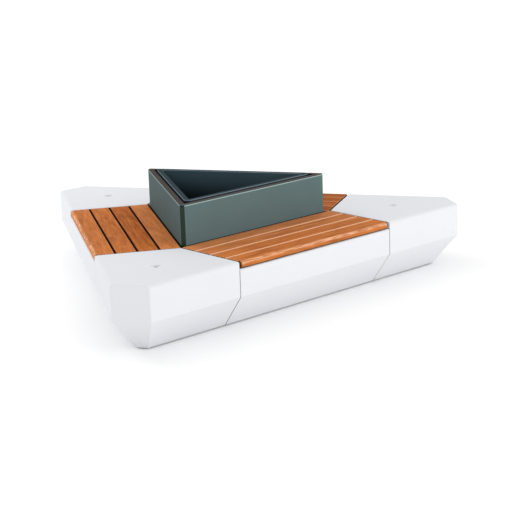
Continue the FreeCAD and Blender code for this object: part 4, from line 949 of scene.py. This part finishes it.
# %% Read the sizes of the casing
low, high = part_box("planter_panel_front")
panel_depth = middle.y - low.y
flange_depth = middle.y - high.y
casing_foot = low.z
casing_top = high.z
POST_RECESS = 3 * MM
FLANGE_LIP = 18 * MM
FOLD_RADIUS = 10 * MM
MITRE_GAP = 1 * MM
EDGE_EASE = 0.9 * MM
FOLD_SEGMENTS, EASE_SEGMENTS = 8, 3
CUT_EDGE_ANGLE = 50
STUD_RADIUS, STUD_LENGTH, STUD_MARGIN, STUD_INSET = 3 * MM, 14 * MM, 80 * MM, 32.2 * MM
STUD_SIDES = 12
panel_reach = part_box("planter_post_rear")[1].y - middle.y + POST_RECESS
stud_along = high.x - middle.x - STUD_INSET
print("casing, foot to flange:", round((casing_top - casing_foot) / MM), "mm")


# %% Draw a panel
def give_thickness(piece, thickness):
    """Turn a sheet's outer face into a sheet, and ease its cut edges."""
    solid = piece.modifiers.new("sheet", "SOLIDIFY")
    solid.thickness = thickness
    solid.offset = -1
    solid.use_even_offset = True
    ease = piece.modifiers.new("ease", "BEVEL")
    ease.limit_method = "ANGLE"
    ease.angle_limit = math.radians(CUT_EDGE_ANGLE)
    ease.width = EDGE_EASE
    ease.segments = EASE_SEGMENTS
    ease.profile = 0.5
    settle(piece)


def draw_panel(name):
    """One folded panel in a side's frame."""
    section = [(-panel_depth, casing_foot), (-panel_depth, casing_top), (-flange_depth, casing_top),
               (-flange_depth, casing_top - FLANGE_LIP)]
    far = 2 * panel_depth
    bm = bmesh.new()
    line = [bm.verts.new((-far, y, z)) for y, z in section]
    edges = [bm.edges.new(pair) for pair in zip(line, line[1:])]
    strip = bmesh.ops.extrude_edge_only(bm, edges=edges)["geom"]
    bmesh.ops.translate(bm, vec=(2 * far, 0, 0), verts=corners_of(strip))
    folds = [edge for edge in bm.edges if len(edge.link_faces) == 2]
    bmesh.ops.bevel(bm, geom=folds, offset=FOLD_RADIUS, segments=FOLD_SEGMENTS, profile=0.5,
                    affect="EDGES", material=-1)
    for hand in (-1, 1):
        towards_corner = Vector((hand * SIN, -COS, 0))
        slice_through(bm, towards_corner * panel_reach, towards_corner, drop_beyond=True)
        beyond_mitre = Vector((hand * COS, SIN, 0))
        slice_through(bm, Vector((-hand * MITRE_GAP, 0, 0)), beyond_mitre, drop_beyond=True)
    # An open sheet has no outside of its own, so its faces are turned away from the middle.
    if sum(face.normal.y * face.calc_center_median().y for face in bm.faces) < 0:
        bmesh.ops.reverse_faces(bm, faces=bm.faces)
    piece = new_piece(name, bm, is_closed=False)
    give_thickness(piece, SHEET)
    return piece


def weld_studs(piece):
    """Add the studs to the back of a panel, three at each end."""
    levels = (casing_foot + STUD_MARGIN, (casing_foot + casing_top) / 2, casing_top - STUD_MARGIN)
    from_face = Matrix.Rotation(math.radians(90), 4, "X")
    bm = bmesh.new()
    bm.from_mesh(piece.data)
    for along in (-stud_along, stud_along):
        for level in levels:
            centre = Vector((along, -(panel_depth - SHEET - STUD_LENGTH / 2), level))
            bmesh.ops.create_cone(bm, cap_ends=True, segments=STUD_SIDES, radius1=STUD_RADIUS,
                                  radius2=STUD_RADIUS, depth=STUD_LENGTH,
                                  matrix=Matrix.Translation(centre) @ from_face)
    bm.to_mesh(piece.data)
    bm.free()


# %% Make the three panels
# The gap round the liner is painted black as shade, and the right and left panels are painted darker all
# over as shade, the left one most.
SIDE_SHADE = {"front": 0.0, "right": 0.08, "left": 0.26}
GAP_SHADE_DEPTH = 1.2 * MM


def find_flange_gap_shade(point, side_shade):
    """How much painted shade a point of the casing gets: the flange's inner fold and what lies below it.
    """
    is_inside = point.y > -(flange_depth + FOLD_RADIUS)
    below = (casing_top - GAP_SHADE_DEPTH / 2 - point.z) / GAP_SHADE_DEPTH
    return max(side_shade, min(1, below)) if is_inside else side_shade


for name, turn in SIDES.items():
    panel = draw_panel(f"casing_{name}")
    weld_studs(panel)
    smooth(panel)
    write_map(panel.data, "painted_coat_shade",
              [find_flange_gap_shade(vertex.co, SIDE_SHADE[name]) for vertex in panel.data.vertices])
    finish_piece(panel, turn, [casing_coat], "bench", "casing_paint", f"planter_panel_{name}")
    print(panel.name, len(panel.data.polygons), "faces")

# %% [markdown]
# ## The liner
# The liner is a tub that drops into the casing, with a flat rim and a turned-down lip. Both sides
# of its sheet are one closed skin: it starts at the floor's underside, climbs the wall, runs out
# under the rim and round the lip, comes back over the rim and goes down to the floor inside.
# So one outline of six corners, extruded from row to row, draws all of it. Each row has its own
# depth and height, and each row's fold and each run of uprights its own radius.

# %% Draw the skin of the liner
low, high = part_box("planter_liner")
tub_bottom = low.z
rim_depth = middle.y - low.y
rim_reach = high.y - middle.y
RIM_LIP = 20 * MM
RIM_FOLD = 4 * MM
RIM_SEGMENTS = 6
TUB_ROUND = 14 * MM
DRAIN_HOLE = 15.3 * MM
tub_depth = rim_depth - RIM_WIDTH
inner_round = TUB_ROUND - SHEET
print("liner, bottom to rim:", round((RIM_TOP - tub_bottom) / MM), "mm")


def ring_row(depth, reach, height):
    """Six points round the triangle, two at each blunt corner."""
    half = (reach - depth * COS) / SIN
    row = []
    for turn in SIDES.values():
        matrix = Matrix.Rotation(math.radians(turn), 4, "Z")
        row += [matrix @ Vector((hand * half, -depth, height)) for hand in (-1, 1)]
    return row


def tub_row(depth, radius, height):
    """A row of the tub, whose corners become one arc of that radius."""
    return ring_row(depth, 2 * depth - radius, height)


# Each row with the radius of its fold and of the uprights that lead to the next row.
ALMOST = 0.97
rows = [
    (tub_row(tub_depth + SHEET, TUB_ROUND, tub_bottom), SHEET, TUB_ROUND * ALMOST),
    (tub_row(tub_depth + SHEET, TUB_ROUND, RIM_TOP - SHEET), 0, 0),
    (ring_row(rim_depth - SHEET, rim_reach - SHEET, RIM_TOP - SHEET), 0, SHEET),
    (ring_row(rim_depth - SHEET, rim_reach - SHEET, RIM_TOP - RIM_LIP), EDGE_EASE, 0),
    (ring_row(rim_depth, rim_reach, RIM_TOP - RIM_LIP), EDGE_EASE, 2 * SHEET),
    (ring_row(rim_depth, rim_reach, RIM_TOP), RIM_FOLD, 0),
    (tub_row(tub_depth, inner_round, RIM_TOP), RIM_FOLD, inner_round * ALMOST),
    (tub_row(tub_depth, inner_round, tub_bottom + SHEET), SHEET, 0),
]


def draw_tub(name):
    """The whole skin with its folds rounded."""
    bm = bmesh.new()
    row_of = bm.verts.layers.int.new("row")
    face = bm.faces.new([bm.verts.new(point) for point in rows[0][0]])
    for number, (old, new) in enumerate(zip(rows, rows[1:]), start=1):
        face = extrude_to(bm, face, old[0], new[0])
        for corner in face.verts:
            corner[row_of] = number
    bmesh.ops.recalc_face_normals(bm, faces=bm.faces)

    def tub_radius(edge):
        first, last = sorted(corner[row_of] for corner in edge.verts)
        return rows[first][1] if first == last else rows[first][2]

    widest = weigh_edges(bm, tub_radius)
    piece = new_piece(name, bm)
    round_edges(piece, widest, RIM_SEGMENTS)
    return piece


# %% Make the liner
tub = draw_tub("liner_tub")
bm = bmesh.new()
bmesh.ops.create_cone(bm, cap_ends=True, segments=SPIN_STEPS, radius1=DRAIN_HOLE,
                      radius2=DRAIN_HOLE, depth=RIM_LIP)
bmesh.ops.translate(bm, vec=(0, 0, tub_bottom), verts=bm.verts)
cut(tub, new_piece("drain_tool", bm))
smooth(tub)


def find_lip_gap_shade(point):
    """How much painted shade a point of the liner gets: the outside of its lip, down in the gap."""
    depth = max(point.dot(direction) for direction in FACEWARD)
    below = (casing_top + GAP_SHADE_DEPTH - point.z) / GAP_SHADE_DEPTH
    return max(0, min(1, below)) if depth > rim_depth - SHEET else 0


write_map(tub.data, "painted_coat_shade", [find_lip_gap_shade(vertex.co) for vertex in tub.data.vertices])
finish_piece(tub, 0, [liner_coat], "liner", "liner_paint", "planter_liner")
print(tub.name, len(tub.data.polygons), "faces")

# %% [markdown]
# ## The pieces that stay as constructed
# Fasteners, bearers, rails, brackets, posts, pads and the drain already have their real shape in
# the frame, so they keep it and only get the finish that their slot in the record names.

# %% Give the frame's own pieces their finishes
finishes = {
    "cast_stone": stone, "seat_timber": wood, "casing_paint": casing_coat, "post_paint": post_coat,
    "liner_paint": liner_coat, "galvanised_steel": galvanised, "stainless_steel": stainless,
    "bearing_rubber": rubber, "drain_plastic": plastic,
}
for part in frame["record"]["subparts"]:
    node = frame["nodes"][part["node"]]
    finish = finishes[part["material_slot"]]
    if not node.material_slots:
        node.data.materials.append(finish)
    for slot in node.material_slots:
        slot.material = finish

# %% [markdown]
# ## Floor, light and camera
# White stone on a white floor only reads if the light has a direction. The surroundings are an
# even pale white, which fills every side from above, and the floor fills the slopes from below.
# A broad low panel to the front right brightens the long front face, and a smaller high one over
# the far left corner does the same for the left one. The blunt end between them stays in plain
# fill, so it turns a shade darker, as a face between two windows does. The floor is white from
# half a metre around the foot, because it glows a little there, and more so far away, as the
# sweep of a lit studio backdrop does.

# %% Floor
FLOOR_HALF = 80
WHITE_START, WHITE_END, WHITE_GLOW = 0.2, 0.55, 0.07
SWEEP_START, SWEEP_END, SWEEP_GLOW = 3, 8, 0.1
bm = bmesh.new()
bmesh.ops.create_grid(bm, x_segments=1, y_segments=1, size=FLOOR_HALF)
floor = new_piece("studio_floor", bm)
floor_paint, tree = new_finish("matt_white_floor")
where = add(tree, "TexCoord").outputs["Object"]
past_faces = add(tree, "Math", {0: find_depth(tree, where), 1: FACE_DEPTH - FOOT_INSET},
                 operation="SUBTRACT")
past_ends = add(tree, "Math", {0: find_depth(tree, where, ENDWARD), 1: blunt_reach - FOOT_INSET},
                operation="SUBTRACT")
past_foot = add(tree, "Math", {0: past_faces, 1: past_ends}, operation="MAXIMUM")
around = add(tree, "MapRange", {"Value": past_foot, "From Min": WHITE_START,
                                "From Max": WHITE_END, "To Max": WHITE_GLOW})
distance = add(tree, "VectorMath", {0: where}, operation="LENGTH").outputs["Value"]
far_off = add(tree, "MapRange", {"Value": distance, "From Min": SWEEP_START, "From Max": SWEEP_END,
                                 "To Max": SWEEP_GLOW})
glow = add(tree, "Math", {0: around, 1: far_off}, operation="ADD")
shader = add(tree, "BsdfPrincipled", {"Base Color": linear("#ffffff"), "Roughness": 1.0,
                                      "Specular IOR Level": 0.0, "Emission Color": (1, 1, 1, 1),
                                      "Emission Strength": glow})
add(tree, "OutputMaterial", {"Surface": shader})
floor.data.materials.append(floor_paint)
floor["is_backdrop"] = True
print("floor:", 2 * FLOOR_HALF, "m wide")

# %% Light
SURROUNDINGS = 0.911
LAMP_COLOUR = (1.0, 0.995, 0.99)
LIT_LEVEL = 0.3
world = bpy.data.worlds.new("pale_surroundings")
world.use_nodes = True
background = world.node_tree.nodes["Background"]
background.inputs["Color"].default_value = (1.0, 1.0, 1.0, 1.0)
background.inputs["Strength"].default_value = SURROUNDINGS
bpy.context.scene.world = world


def broad_light(name, source, size, power):
    """A soft round light at a place, in metres and watts, turned towards the bench."""
    data = bpy.data.lights.new(name, "AREA")
    data.shape = "DISK"
    data.size = size
    data.energy = power
    data.color = LAMP_COLOUR
    lamp = bpy.data.objects.new(name, data)
    lamp.location = source
    lamp.rotation_mode = "QUATERNION"
    aim = Vector(source) - Vector((middle.x, middle.y, LIT_LEVEL))
    lamp.rotation_quaternion = aim.to_track_quat("Z", "Y")
    bpy.context.scene.collection.objects.link(lamp)
    print("light:", name, power, "W,", round(aim.length, 1), "m away")


broad_light("broad_light_right", (2.5, -9.0, 2.0), 5.0, 156)
broad_light("broad_light_left", (-2.0, 3.5, 4.0), 2.5, 50)

# %% Camera
CAMERA_PLACE = Vector((-6.833, -8.1795, 2.860))
YAW, PITCH, ROLL = 42.69, 14.64, -1.96
LENS, SENSOR_WIDTH = 105.745, 36
FAR_CLIP = 500
camera_data = bpy.data.cameras.new("photo_view")
camera_data.lens = LENS
camera_data.sensor_width = SENSOR_WIDTH
camera_data.clip_end = FAR_CLIP
camera = bpy.data.objects.new("photo_view", camera_data)
camera.matrix_world = (Matrix.Translation(CAMERA_PLACE)
                       @ Matrix.Rotation(math.radians(-YAW), 4, "Z")
                       @ Matrix.Rotation(math.radians(90 - PITCH), 4, "X")
                       @ Matrix.Rotation(math.radians(ROLL), 4, "Z"))
bpy.context.scene.collection.objects.link(camera)
bpy.context.scene.camera = camera
bpy.context.scene.view_settings.view_transform = "Standard"
print("camera:", round((CAMERA_PLACE - middle).length, 2), "m from the bench, lens", LENS, "mm")

# %% Measure the visual model
low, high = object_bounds()
print("visual model:", [round(size, 3) for size in high - low])
